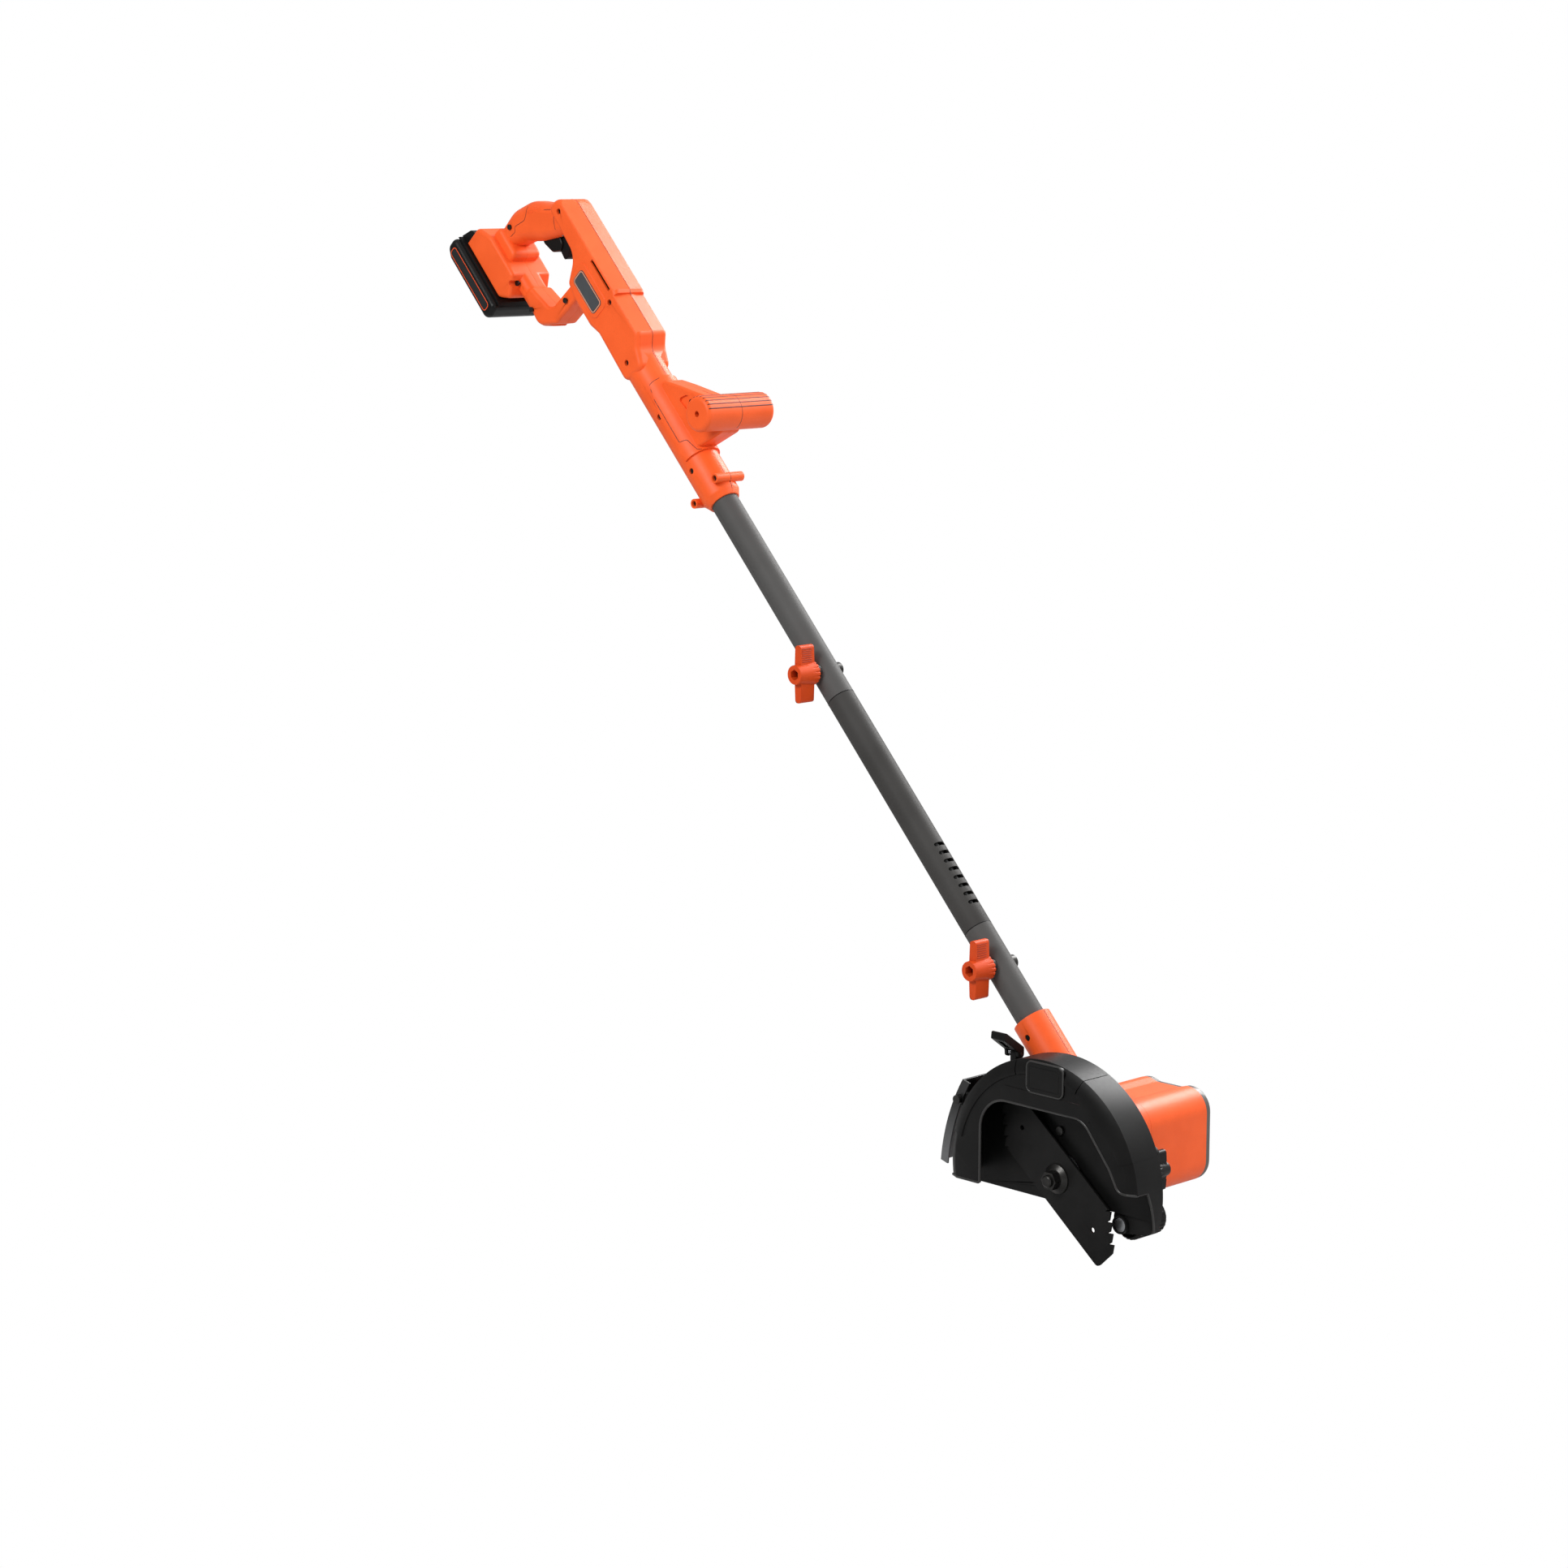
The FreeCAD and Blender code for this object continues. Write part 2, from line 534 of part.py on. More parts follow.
# The release lever's pin lies along X on this lug; the frame draws in world Y and Z and grows along X.
LEVER = Placement(Vector(0, 0, 0), Rotation(Vector(1, 1, 1), 120))
py, pz = v.lever_pin_y, v.lever_pin_z
side_gap = 0.3
lever_high = v.lever_left + v.lever_width
lug_high = lever_high - v.lever_wall - side_gap
lug = slab([(py - 4, pz - 24), (py + 4, pz - 24), (py + 4, pz + 4, 3.9), (py - 4, pz + 4, 3.9)],
           lug_high - v.lug_width, lug_high)
lug = lug.cut(rod(py, pz, v.lever_pin, lug_high - 30, lug_high + 30))
lug.Placement = HEAD.inverse() * LEVER
guard = join([guard, lug.cut(rod(gx, gz, g_reach - 1, -60, 60))])
bolt_x, bolt_z = v.depth_x, v.depth_z
guard = guard.cut(rod(bolt_x, bolt_z, v.depth_bolt + 0.1, -60, 0))
add("guard", guard, HEAD)

# Debris flap: a curved leaf with two cheeks, hung on a bolt through a bent bracket on the guard's rear.
flap_x, flap_z = v.flap_x, v.flap_z
flap_high = v.flap_near
flap_low = flap_high - v.flap_width
arm_low = flap_low + v.flap_thick + side_gap
arm_high = flap_high - v.flap_thick - side_gap
boss_radius = v.flap_bolt + 1.5
arm_outline = [(flap_x - boss_radius, flap_z - 1, boss_radius - 0.1), (flap_x + 14, flap_z - 18),
               (flap_x + 26, flap_z - 6), (flap_x + 20, flap_z + 10),
                (flap_x - 1, flap_z + boss_radius, boss_radius - 0.1)]
arms = [slab(arm_outline, low, low + v.flap_plate) for low in (arm_low, arm_high - v.flap_plate)]
guard_round = rod(gx, gz, g_reach, -60, 60)
foot_plate = ring(gx, gz, g_reach + v.flap_plate, g_reach, arm_low, arm_high)
foot_plate = foot_plate.common(block(flap_x, flap_x + 24, flap_z - 30, flap_z + 16, arm_low, arm_high))
flap_bracket = join(arms + [foot_plate]).cut(guard_round)
add("flap_bracket", flap_bracket.cut(rod(flap_x, flap_z, v.flap_bolt, -60, 60)), HEAD)


def flap_outline(depth):
    """Side outline of the leaf: two bowed arcs that lie depth apart."""
    places = [(flap_x + 4, flap_z + v.flap_rise), (flap_x - 15, flap_z - 20),
              (flap_x - 25, flap_z - v.flap_drop)]
    outer_line = [Vector(x, z, 0) for x, z in places]
    inner_line = [point + Vector(0.9, -0.25, 0).normalize() * depth for point in reversed(outer_line)]
    edges = [Part.Arc(*outer_line), Part.LineSegment(outer_line[2], inner_line[0]), Part.Arc(*inner_line),
             Part.LineSegment(inner_line[2], outer_line[0])]
    return Part.Face(Part.Wire([edge.toShape() for edge in edges]))


cheek_lows = (flap_low, flap_high - v.flap_thick)
leaf = grow_face(flap_outline(v.flap_thick), flap_low, flap_high)
cheeks = [grow_face(flap_outline(v.flap_depth), low, low + v.flap_thick) for low in cheek_lows]
cheeks += [rod(flap_x, flap_z, boss_radius + 1, low, low + v.flap_thick) for low in cheek_lows]
flap = join([leaf] + cheeks).cut(rod(flap_x, flap_z, v.flap_bolt + v.running_gap, -60, 60))
add("debris_flap", flap, HEAD)
flap_bolt = join([rod(flap_x, flap_z, v.flap_bolt, flap_low - 3, flap_high + 1),
                  rod(flap_x, flap_z, 4.6, flap_high + side_gap, flap_high + 5),
                  slab(hexagon(8, flap_x, flap_z), flap_low - 3.6, flap_low - side_gap)])

# Release lever on top of the guard: a forked paddle on a pin, held down by a torsion spring.
paddle = slab([(py - 23.5, pz + 25.9, 2), (py - 24.5, pz + 17.3, 1.5), (py - 4.5, pz + 2.9, 3),
               (py - 4, pz - 4.2, 3), (py + 4.3, pz - 4.2, 4), (py + 4.3, pz + 6.5, 3)],
              v.lever_left, lever_high)
fork = block(py - 7, py + 9, pz - 9, pz + 4.6, v.lever_left + v.lever_wall, lever_high - v.lever_wall)
under_slot = slab([(py - 21.9, pz + 14.2), (py - 9.7, pz + 5.4), (py - 7.1, pz + 9), (py - 19.3, pz + 17.8)],
                  v.lever_left + 6, lever_high - 6)
lever_body = paddle.cut(fork).cut(under_slot).cut(rod(py, pz, v.lever_pin + v.running_gap, -90, 0))
add("release_lever", lever_body, LEVER)
add("lever_pin", rod(py, pz, v.lever_pin, v.lever_left - 0.5, lever_high + 0.5), LEVER)
spring_low = v.lever_left + v.lever_wall + 0.8
turns = [Part.makeTorus(v.lever_pin + 0.6, 0.5, Vector(py, pz, spring_low + 1.1 * k)) for k in range(3)]
add_group("lever_spring", turns, LEVER)

# Wheel bracket: slides down the back of the guard, clamped by the wing knob.
plate_high = -back - v.bracket_gap
plate_low = plate_high - v.bracket_thick
slot_top = bolt_z + v.bracket_travel
bracket = slab([(v.wheel_x - 11, v.wheel_z - 11, 10), (bolt_x + 2, v.wheel_z - 4, 8),
                (bolt_x + 8, bolt_z - 20, 10), (bolt_x + 8, slot_top + 8, 8), (bolt_x - 9, slot_top + 8, 8), (bolt_x - 9, 0, 16),
                (v.wheel_x - 11, v.wheel_z + 11, 8)], plate_low, plate_high)
boss = rod(v.wheel_x, v.wheel_z, 9, plate_low, plate_high + 5)
bracket = join([bracket, boss])
slot_half = v.depth_bolt + 0.3
slot = slab([(bolt_x - slot_half, bolt_z - slot_half, slot_half - 0.01),
             (bolt_x + slot_half, bolt_z - slot_half, slot_half - 0.01),
             (bolt_x + slot_half, slot_top + slot_half, slot_half - 0.01),
             (bolt_x - slot_half, slot_top + slot_half, slot_half - 0.01)], plate_low - 1, plate_high + 1)
bracket = bracket.cut(slot).cut(rod(v.wheel_x, v.wheel_z, v.wheel_bore, -60, 60))
bracket = bracket.cut(rod(v.wheel_x, v.wheel_z, 7.4, plate_high, 60))
add("wheel_bracket", bracket, HEAD)

wheel_low = -v.wheel_near - v.wheel_width
WHEEL = HEAD * Placement(Vector(v.wheel_x, v.wheel_z, wheel_low), Rotation())
wheel = new_body("wheel", WHEEL)
wheel_r, bore = v.wheel_radius, v.wheel_bore + v.running_gap
dish = v.wheel_width - 5
turn(wheel, chain([(bore, 2), (8, 2), (8, 5), (12, 5), (wheel_r - 3, 0), (wheel_r, 3, 2),
                   (wheel_r, v.wheel_width - 3, 2), (wheel_r - 3, v.wheel_width), (12, dish), (8, dish),
                   (8, v.wheel_width - 2), (bore, v.wheel_width - 2)]))
doc.recompute()
tread = pocket(wheel, chain(across(2.6, 1.9, 0, 0, wheel_r)), "sizes.wheel_width", "sizes.wheel_width")
around(wheel, tread, "sizes.tread_count")
add("wheel_axle", join([rod(v.wheel_x, v.wheel_z, v.wheel_bore, wheel_low - 4, plate_high + 1),
                        rod(v.wheel_x, v.wheel_z, 7, plate_high + 0.02, plate_high + 3.6),
                        slab(hexagon(12, v.wheel_x, v.wheel_z), wheel_low - 4, wheel_low + 1.6)]), HEAD)


def finished_knob(label, placement, hub, length, reach, bore, flats, tilt):
    """Knob cut for its bolt and for the hexagon of its nut."""
    half = v.wing_thick / 2
    hub_shape = Part.makeCone(hub + 1, hub - 1.5, length)
    tip_round = half - 0.4
    wings = slab([(-reach, -half, tip_round), (-hub, -half - 0.8, 4), (hub, -half - 0.8, 4),
                  (reach, -half, tip_round), (reach, half, tip_round), (hub, half + 0.8, 4),
                  (-hub, half + 0.8, 4), (-reach, half, tip_round)], 1.5, length * 0.8)
    shape = join([hub_shape, wings])
    for k in range(16):
        angle = math.pi * (k + 0.5) / 8
        if abs(math.sin(angle)) > 0.45:
            groove = rod((hub + 1.2) * math.cos(angle), (hub + 1.2) * math.sin(angle), 1.1, -1, length + 1)
            shape = shape.cut(groove)
    shape = shape.cut(slab(hexagon(flats), length * 0.45, length + 1)).cut(rod(0, 0, bore, -1, length))
    tilted = Placement(Vector(), Rotation(Vector(0, 0, 1), tilt))
    return add(label, shape, placement * tilted)


DEPTH = HEAD * Placement(Vector(bolt_x, bolt_z, plate_low - 0.3), Rotation(Vector(1, 0, 0), 180))
finished_knob("depth_knob", DEPTH, v.depth_hub, v.depth_length, v.depth_reach, v.depth_bolt + v.running_gap,
              8, 90)
depth_bolt = join([rod(bolt_x, bolt_z, v.depth_bolt, plate_low - v.depth_length + 3, -back + g_wall + 2),
                   rod(bolt_x, bolt_z, 7, -back + g_wall, -back + g_wall + 3)])
add_group("guard_bolts", [depth_bolt, flap_bolt], HEAD)

# Blank badge and label plate on the guard's face, and the screws through its back.
badge_x, badge_z = 10, 109
badge_points = across(v.badge_width, v.badge_height, 6, badge_x, badge_z - 2)
badge = slab(badge_points, front - g_wall, front + v.badge_proud)
badge = soften(badge, 1.2, lambda e: e.BoundBox.ZMin > front + v.badge_proud - 0.01)
LABEL = [(-48, 78), (66, 74), (68, 79, 3), (56, 90, 3), (-44, 92, 3), (-48, 88, 2)]
label_plate = slab(LABEL, front, front + 0.5)
add_group("guard_badges", [badge.cut(guard_form(g_reach, -back, front, v.guard_bevel)), label_plate], HEAD)
head_screws = []
for x, z in MOUNT_SCREWS:
    head_screws.append(join([rod(x, z, v.screw_radius, -flange_near - 3, -back + g_wall),
                             rod(x, z, 4.5, -back + g_wall, -back + g_wall + 2.5)]))
add_group("head_screws", head_screws + [neck_screw], HEAD)

# Shaft: three tubes, each joint clamped by a wing knob ---------------------------------------------
thick_wall = v.tube_wall
outer = v.tube_radius
core = outer - thick_wall
spigot = core - v.spigot_gap
spigot_core = spigot - thick_wall
low_knob = lower_joint - v.knob_down
high_knob = upper_joint + v.knob_up
bolt_clear = v.clamp_bolt + 0.2


def cross_hole(shape, along, radius):
    """Hole through both walls of a tube, along world Y."""
    hole = Part.makeCylinder(radius, 80, Vector(0, -40, along), Vector(0, 1, 0))
    return shape.cut(hole)


def tube(low, high):
    shape = Part.makeCylinder(outer, high - low, Vector(0, 0, low))
    return shape.cut(Part.makeCylinder(core, high - low + 2, Vector(0, 0, low - 1)))


lower_tube = cross_hole(tube(neck_floor, lower_joint), low_knob, bolt_clear)
lower_tube = cross_hole(lower_tube, neck_step, v.screw_radius + 0.05)
slit = Part.makeBox(30, 2.4, 66, Vector(-outer - 10, -1.2, lower_joint - 65))
slit = slit.common(Part.makeBox(14, 4, 90, Vector(-outer - 2, -2, lower_joint - 70)))
add("lower_tube", lower_tube.cut(slit), TUBE)

middle = new_body("middle_tube", TUBE)
low_end = lower_joint - v.spigot_depth
high_end = upper_joint + v.spigot_depth
turn(middle, chain([(spigot_core, low_end), (spigot, low_end), (spigot, lower_joint + 0.3),
                    (outer, lower_joint + 0.3), (outer, upper_joint - 0.3), (spigot, upper_joint - 0.3),
                    (spigot, high_end), (spigot_core, high_end), (spigot_core, upper_joint - 5),
                    (core, upper_joint - 8), (core, lower_joint + 8), (spigot_core, lower_joint + 5)]))
doc.recompute()


def side_cut(body, curves):
    """Pocket from the body's XZ plane both ways, along world Y."""
    drawing = sketch(body, curves, role="XZ_Plane")
    doc.recompute()
    feature = body.newObject("PartDesign::Pocket", body.Label + "_side_cut")
    feature.Profile = drawing
    feature.Length = 200
    feature.Midplane = True
    return feature


side_cut(middle, chain([(-bolt_clear, low_end - 1), (bolt_clear, low_end - 1),
                        (bolt_clear, low_knob + bolt_clear, bolt_clear - 0.01),
                        (-bolt_clear, low_knob + bolt_clear, bolt_clear - 0.01)]))
side_cut(middle, chain([(-bolt_clear, high_knob - bolt_clear, bolt_clear - 0.01),
                        (bolt_clear, high_knob - bolt_clear, bolt_clear - 0.01),
                        (bolt_clear, high_end + 1), (-bolt_clear, high_end + 1)]))
doc.recompute()
first_slot = lower_joint + v.slot_start
drawing = middle.newObject("Sketcher::SketchObject", "height_slot_sketch")
drawing.AttachmentSupport = [(plane_of(middle, "YZ_Plane"), "")]
drawing.MapMode = "FlatFace"
for curve in chain(across(v.slot_width, v.slot_height, 1.9, 0, first_slot)):
    drawing.addGeometry(curve, False)
drawing.setExpression("AttachmentOffset.Base.z", "sizes.tube_radius + 1")
doc.recompute()
height_slot = middle.newObject("PartDesign::Pocket", "height_slot")
height_slot.Profile = drawing
height_slot.Length = outer
doc.recompute()
row_of_slots = middle.newObject("PartDesign::LinearPattern", "height_slots")
row_of_slots.Originals = [height_slot]
row_of_slots.Direction = (plane_of(middle, "Z_Axis"), [""])
row_of_slots.setExpression("Length", "sizes.slot_pitch * (sizes.slot_count - 1)")
row_of_slots.setExpression("Occurrences", "sizes.slot_count")
middle.Tip = row_of_slots

tube_screw = collar + 44
upper_tube = cross_hole(tube(upper_joint, collar + v.tube_in_handle), high_knob, bolt_clear)
upper_tube = cross_hole(upper_tube, tube_screw, v.screw_radius + 0.05)
add("upper_tube", upper_tube, TUBE)

for name, place in (("upper", high_knob), ("lower", low_knob)):
    CLAMP = SHAFT * Placement(Vector(0, place, 0), Rotation())
    saddle = rod(0, 0, 9.5, 8, outer + 3).cut(rod(0, 0, bolt_clear, 0, 40))
    seat = Part.makeCylinder(outer + 0.02, 60, Vector(0, -30, 0), Vector(0, 1, 0))
    bolt = join([rod(0, 0, v.clamp_bolt, -outer - 2, outer + 22),
                 rod(0, 0, 7.5, -outer - 5, -outer + 3).cut(seat)])
    add_group(name + "_clamp_bolt", [bolt, saddle.cut(seat)], CLAMP)
    finished_knob(name + "_knob", CLAMP * Placement(Vector(0, 0, outer + 3.3), Rotation()), v.knob_hub,
                  v.knob_length, v.wing_reach, v.clamp_bolt + v.running_gap, 10, v.shaft_angle)


def lead(label, low, high):
    """Straight stretch of the power lead inside one tube, with its plug or socket at each end."""
    cable = Part.makeCylinder(v.lead_radius, high - low, Vector(v.lead_offset, 0, low))
    add(label, cable, TUBE)


lead("lower_lead", v.lead_foot, low_end - 0.3)
lead("middle_lead", low_end, high_end)
lead("upper_lead", high_end + 0.3, collar + v.tube_in_handle + 8)

# Rear handle --------------------------------------------------------------------------------------
# Side outlines in the handle's frame: x forward of the shaft's axis, y along the shaft from the collar.
h_half, h_wall = v.handle_half, v.handle_wall
FOOT_FRONT, FOOT_REAR = -73, -109
FOOT_LOW, FOOT_TOP = 380, 459
TRUNK = [(-17, 180, 9), (14, 172, 10), (24, 194, 16), (36, 205, 9), (36, 256), (39, 263), (39, 398, 15),
         (14, 400, 9), (13, 364, 9), (11, 334, 22), (-16, 319, 8), (-20, 300, 9), (-20, 262, 9),
         (-15, 246, 6)]
GRIP = [(20, 401), (-8, 431, 32), (-38, 443, 32), (-78, 441), (-73, 418), (-46, 406, 24), (-24, 386, 24),
        (20, 358)]
CUFF = across(19, 42, 7, -71, 421)
LEG = [(-73, 392), (-92, 388), (-91, 322, 14), (-76, 309), (-62, 322), (-73, 366)]
BRIDGE = [(-66, 304, 6), (-20, 301, 6), (-10, 318, 5), (-20, 318.5, 20), (-62, 321, 12), (-71, 362, 5.5),
          (-85, 362, 5.5), (-90, 322, 15)]
foot_half = v.foot_half
FOOT = [(FOOT_FRONT, FOOT_LOW + 2, 5), (FOOT_FRONT, FOOT_TOP - 22, 12), (FOOT_FRONT - 10, FOOT_TOP, 8),
        (FOOT_REAR, FOOT_TOP), (FOOT_REAR, FOOT_LOW, 6), (FOOT_REAR + 14, FOOT_LOW - 14, 5)]


def soft_slab(points, half, radius):
    """Slab across the middle plane, rounded along both of its outlines."""
    return soften(slab(points, -half, half), radius, lambda e: abs(abs(e.CenterOfMass.z) - half) < 0.01)


def crown(shape, x, low, high):
    """A front face at x, from low to high along the shaft, cut back on both sides of the parting line."""
    for side in (-1, 1):
        wedge = Part.makeBox(30, high - low, 60, Vector(0, low, 0))
        wedge.rotate(Vector(), Vector(0, 1, 0), -v.crown_angle)
        if side < 0:
            wedge = wedge.mirror(Vector(), Vector(0, 0, 1))
        wedge.translate(Vector(x, 0, 0))
        shape = shape.cut(wedge)
    return shape


trunk = crown(crown(soft_slab(TRUNK, h_half, v.handle_round), 39, 263, 394), 36, 207, 259)
foot = soft_slab(FOOT, foot_half, 4)
grip = soft_slab(GRIP, v.grip_half, v.grip_round)
leg = crown(soft_slab(LEG, v.leg_half, v.leg_round), -62, 320, 380)
cuff = soft_slab(CUFF, v.grip_half + 3, 5)
bridge = soft_slab(BRIDGE, v.leg_half + 1, 4)
trunk = join([trunk, grip, cuff, leg, bridge])
stem = Part.makeCylinder(v.trunk_radius, 262, Vector(0, 8, 0), Vector(0, 1, 0))
cone = Part.makeCone(v.collar_radius - 3, v.trunk_radius, 8, Vector(0, 0, 0), Vector(0, 1, 0))
boss_places = [(21.5, 17), (-21.5, 17)]
bosses = [rod(x, y, 5.2, -v.collar_radius + 0.5, v.collar_radius - 0.5) for x, y in boss_places]
bosses += [block(min(x * 0.5, x), max(x * 0.5, x), y - 5.2, y + 5.2, -8, 8) for x, y in boss_places]

TRUNK_ROOM = [(13, 178), (20, 198), (30, 208), (30, 258), (33, 266), (33, 390, 8), (20, 392), (17, 366),
              (16, 332), (-12, 314), (-15, 304), (-15, 264), (-11, 250), (-11, 186)]
trunk_in = slab(TRUNK_ROOM, -h_half + h_wall, h_half - h_wall)
GRIP_ROOM = [(18, 392), (-8, 422, 20), (-38, 434, 20), (-72, 433), (-72, 424), (-46, 412, 20), (-24, 394, 20),
             (18, 384)]
grip_in = slab(GRIP_ROOM, -v.grip_half + 5, v.grip_half - 5)
LEG_ROOM = [(-86, 384), (-85, 326), (-62, 308), (-20, 306), (-20, 312), (-64, 315), (-79, 340), (-79, 384)]
leg_in = slab(LEG_ROOM, -v.leg_half + 5, v.leg_half - 5)
stem_in = Part.makeCylinder(v.trunk_radius - h_wall, 190, Vector(0, v.tube_in_handle + 3, 0), Vector(0, 1, 0))
seat = Part.makeCylinder(outer + 0.02, v.tube_in_handle + 6, Vector(0, -1, 0), Vector(0, 1, 0))
FOOT_ROOM = [(FOOT_FRONT - 2.8, FOOT_LOW + 6), (FOOT_FRONT - 2.8, FOOT_TOP - 24),
             (FOOT_FRONT - 13, FOOT_TOP - 6), (-96, FOOT_TOP - 6), (-96, FOOT_LOW + 2), (-90, FOOT_LOW + 2)]
foot_in = slab(FOOT_ROOM, -foot_half + 3, foot_half - 3)
# The pack's rails run in this T-shaped channel, open at its top end.
rail_wide, rail_neck = 23, 19
channel = join([block(-105, -99, FOOT_LOW + 8, 500, -rail_wide, rail_wide),
                block(-130, -104, FOOT_LOW + 8, 500, -rail_neck, rail_neck)])

SCREWS = [(0, 44), (0, 118), (0, 193), (23, 258), (27, 384), (-50, 430), (-82, 376.5), (-84, 340), (-34, 310)]
posts = [rod(x, y, 4.2, -h_half + 1, h_half - 1) for x, y in SCREWS[1:]]
board_low, board_high, board_top = 268, 322, 13.6
board_posts = [rod(23.5, y, 2.2, board_top, h_half - 1) for y in (board_low + 6, board_high - 6)]
pad = soft_slab(across(30, 60, 8, 6, 289), h_half + v.pad_proud, v.pad_proud - 0.1)
handle = join([trunk, foot, stem, cone, pad] + bosses)
inner = join([trunk_in, stem_in, foot_in, grip_in])
handle = handle.cut(inner).cut(leg_in)
whole = join([trunk, stem])
handle = join([handle] + [post.common(whole) for post in posts] + board_posts)
handle = handle.cut(seat).cut(channel)
vent = block(29.5, 33.5, 268, 310, h_half - 6, h_half + 2)
handle = handle.cut(vent)
tx, ty = 2, 388
lx, ly = 5, 370
t_half, l_half = v.trigger_width / 2, v.lock_width / 2
slot_side = t_half + 0.6
switch_low, switch_half = 404, 8
handle = handle.cut(slab([(-34, 350), (-34, switch_low), (9, switch_low), (9, 350)], -slot_side, slot_side))
handle = handle.cut(block(-24, -2, switch_low - 1, switch_low + 16, -switch_half, switch_half))
handle = handle.cut(rod(tx, ty, v.trigger_pin, -t_half - 5, t_half + 5))
handle = handle.cut(rod(lx, ly, v.lock_pin, -t_half - 3, t_half + 3))
handle = handle.cut(block(-99.5, -94, FOOT_LOW + 4, 402, -16, 16))
pilot, head_r = v.screw_radius, v.screw_head
screw_list = [(x, y, h_half) for x, y in SCREWS] + [(x, y, v.collar_radius - 0.5) for x, y in boss_places]
handle_screws = []
for x, y, side in screw_list:
    handle = handle.cut(rod(x, y, pilot, -side + 4, side + 1)).cut(rod(x, y, head_r, side - 5, side + 6))
    screw_head = rod(x, y, head_r - 0.2, side - 5, side - 3)
    handle_screws.append(join([rod(x, y, pilot, -side + 4.5, side - 5), screw_head]))
assist_y, assist_x = v.assist_place, v.assist_reach
nameplates = []
for side in (-1, 1):
    low, high = sorted((side * (h_half + v.pad_proud - 0.8), side * (h_half + v.pad_proud + 0.4)))
    plate_points = across(20, 49, 5, 4.5, 289)
    handle = handle.cut(slab(plate_points, min(low, side * (h_half + 5)), max(high, side * (h_half + 5))))
    nameplates.append(slab(plate_points, low, high))

near_half = block(-300, 300, -100, 600, 0, 200)
add("handle_left", handle.common(near_half), HANDLE)
add("handle_right", handle.cut(near_half), HANDLE)
add_group("nameplates", nameplates, HANDLE)

# Front assist handle: a cross bar on a gusset that wraps the trunk, in two halves.
bar = Part.makeCylinder(v.assist_radius, 2 * v.assist_half, Vector(assist_x, assist_y, -v.assist_half))
bar = soften(bar, 5, lambda e: len(e.Vertexes) == 1)
gusset = slab([(14, 62, 4), (assist_x - 10, assist_y - 17, 8), (assist_x + 2, assist_y + 16, 8),
               (40, 128, 20), (17, 158, 6)], -14, 14)
gusset = soften(gusset, 3, lambda e: abs(abs(e.CenterOfMass.z) - 14) < 0.01)
saddle_out = Part.makeCylinder(v.trunk_radius + 2.6, 100, Vector(0, 56, 0), Vector(0, 1, 0))
saddle_part = saddle_out.common(slab([(2, 56), (24, 56), (24, 156), (12, 156), (2, 110)], -30, 30))
assist = join([bar, gusset, saddle_part])
assist_in = join([Part.makeCylinder(v.assist_radius - 3, 2 * v.assist_half - 8,
                                    Vector(assist_x, assist_y, -v.assist_half + 4)),
                  slab([(28, 70), (assist_x - 8, assist_y - 12), (assist_x, assist_y + 10), (42, 118),
                        (28, 134)], -11, 11)])
inside_posts = [rod(assist_x, assist_y, 4.4, -v.assist_half + 1, v.assist_half - 1),
                rod(41, 104, 4.4, -12, 12)]
trunk_clear = Part.makeCylinder(v.trunk_radius + 0.02, 300, Vector(0, -10, 0), Vector(0, 1, 0))
assist = join([assist.cut(assist_in)] + inside_posts).cut(trunk_clear)
bar_end = v.assist_half
assist = assist.cut(rod(assist_x, assist_y, pilot, -bar_end + 8, bar_end + 1))
assist = assist.cut(rod(assist_x, assist_y, head_r, bar_end - 8, bar_end + 1))
assist = assist.cut(rod(41, 104, pilot, -30, 30)).cut(rod(41, 104, head_r, 9, 30))
recess = slab([(34, 88, 3), (46, 92, 4), (44, 112, 4), (30, 118, 3)], 11.5, 16)
assist = assist.cut(recess)
add("assist_left", assist.common(near_half), HANDLE)
add("assist_right", assist.cut(near_half), HANDLE)
handle_screws.append(join([rod(assist_x, assist_y, pilot, -bar_end + 9, bar_end - 8),
                           rod(assist_x, assist_y, head_r - 0.2, bar_end - 8, bar_end - 6)]))
handle_screws.append(join([rod(41, 104, pilot, -11, 9), rod(41, 104, head_r - 0.2, 9, 11)]))
add_group("handle_screws", handle_screws, HANDLE)

# Trigger, its lock and the switch they work.
trigger = slab([(tx + 5, ty - 1, 4), (tx + 4, ty + 5, 4), (-26, 398, 3), (-28, 386, 6), (-24, 370, 6),
                (-12, 362, 6), (-5, 366, 4), (-2, 376, 4)], -t_half, t_half)
trigger = soften(trigger, 2, lambda e: abs(abs(e.CenterOfMass.z) - t_half) < 0.01)
lock_slot = block(-16, 12, 340, 377, -l_half - 0.4, l_half + 0.4)
trigger = trigger.cut(lock_slot).cut(rod(tx, ty, v.trigger_pin + v.running_gap, -20, 20))
add("trigger", trigger, HANDLE)
lock = slab([(lx + 3, ly + 3, 2.9), (lx - 7, ly + 3, 2), (-14, 366, 3), (-16, 352, 3), (-10, 350, 3),
             (lx - 4, 358, 3), (lx + 3, ly - 3, 2.9)], -l_half, l_half)
lock = lock.cut(rod(lx, ly, v.lock_pin + v.running_gap, -20, 20))
add("lock_off", lock, HANDLE)
add_group("trigger_pins", [rod(tx, ty, v.trigger_pin, -t_half - 5, t_half + 5),
                           rod(lx, ly, v.lock_pin, -t_half - 3, t_half + 3)], HANDLE)
switch = block(-24, -2, switch_low, switch_low + 16, -switch_half, switch_half)
plunger = rod(0, 0, 1.8, 0, 3)
plunger.rotate(Vector(), Vector(1, 0, 0), 90)
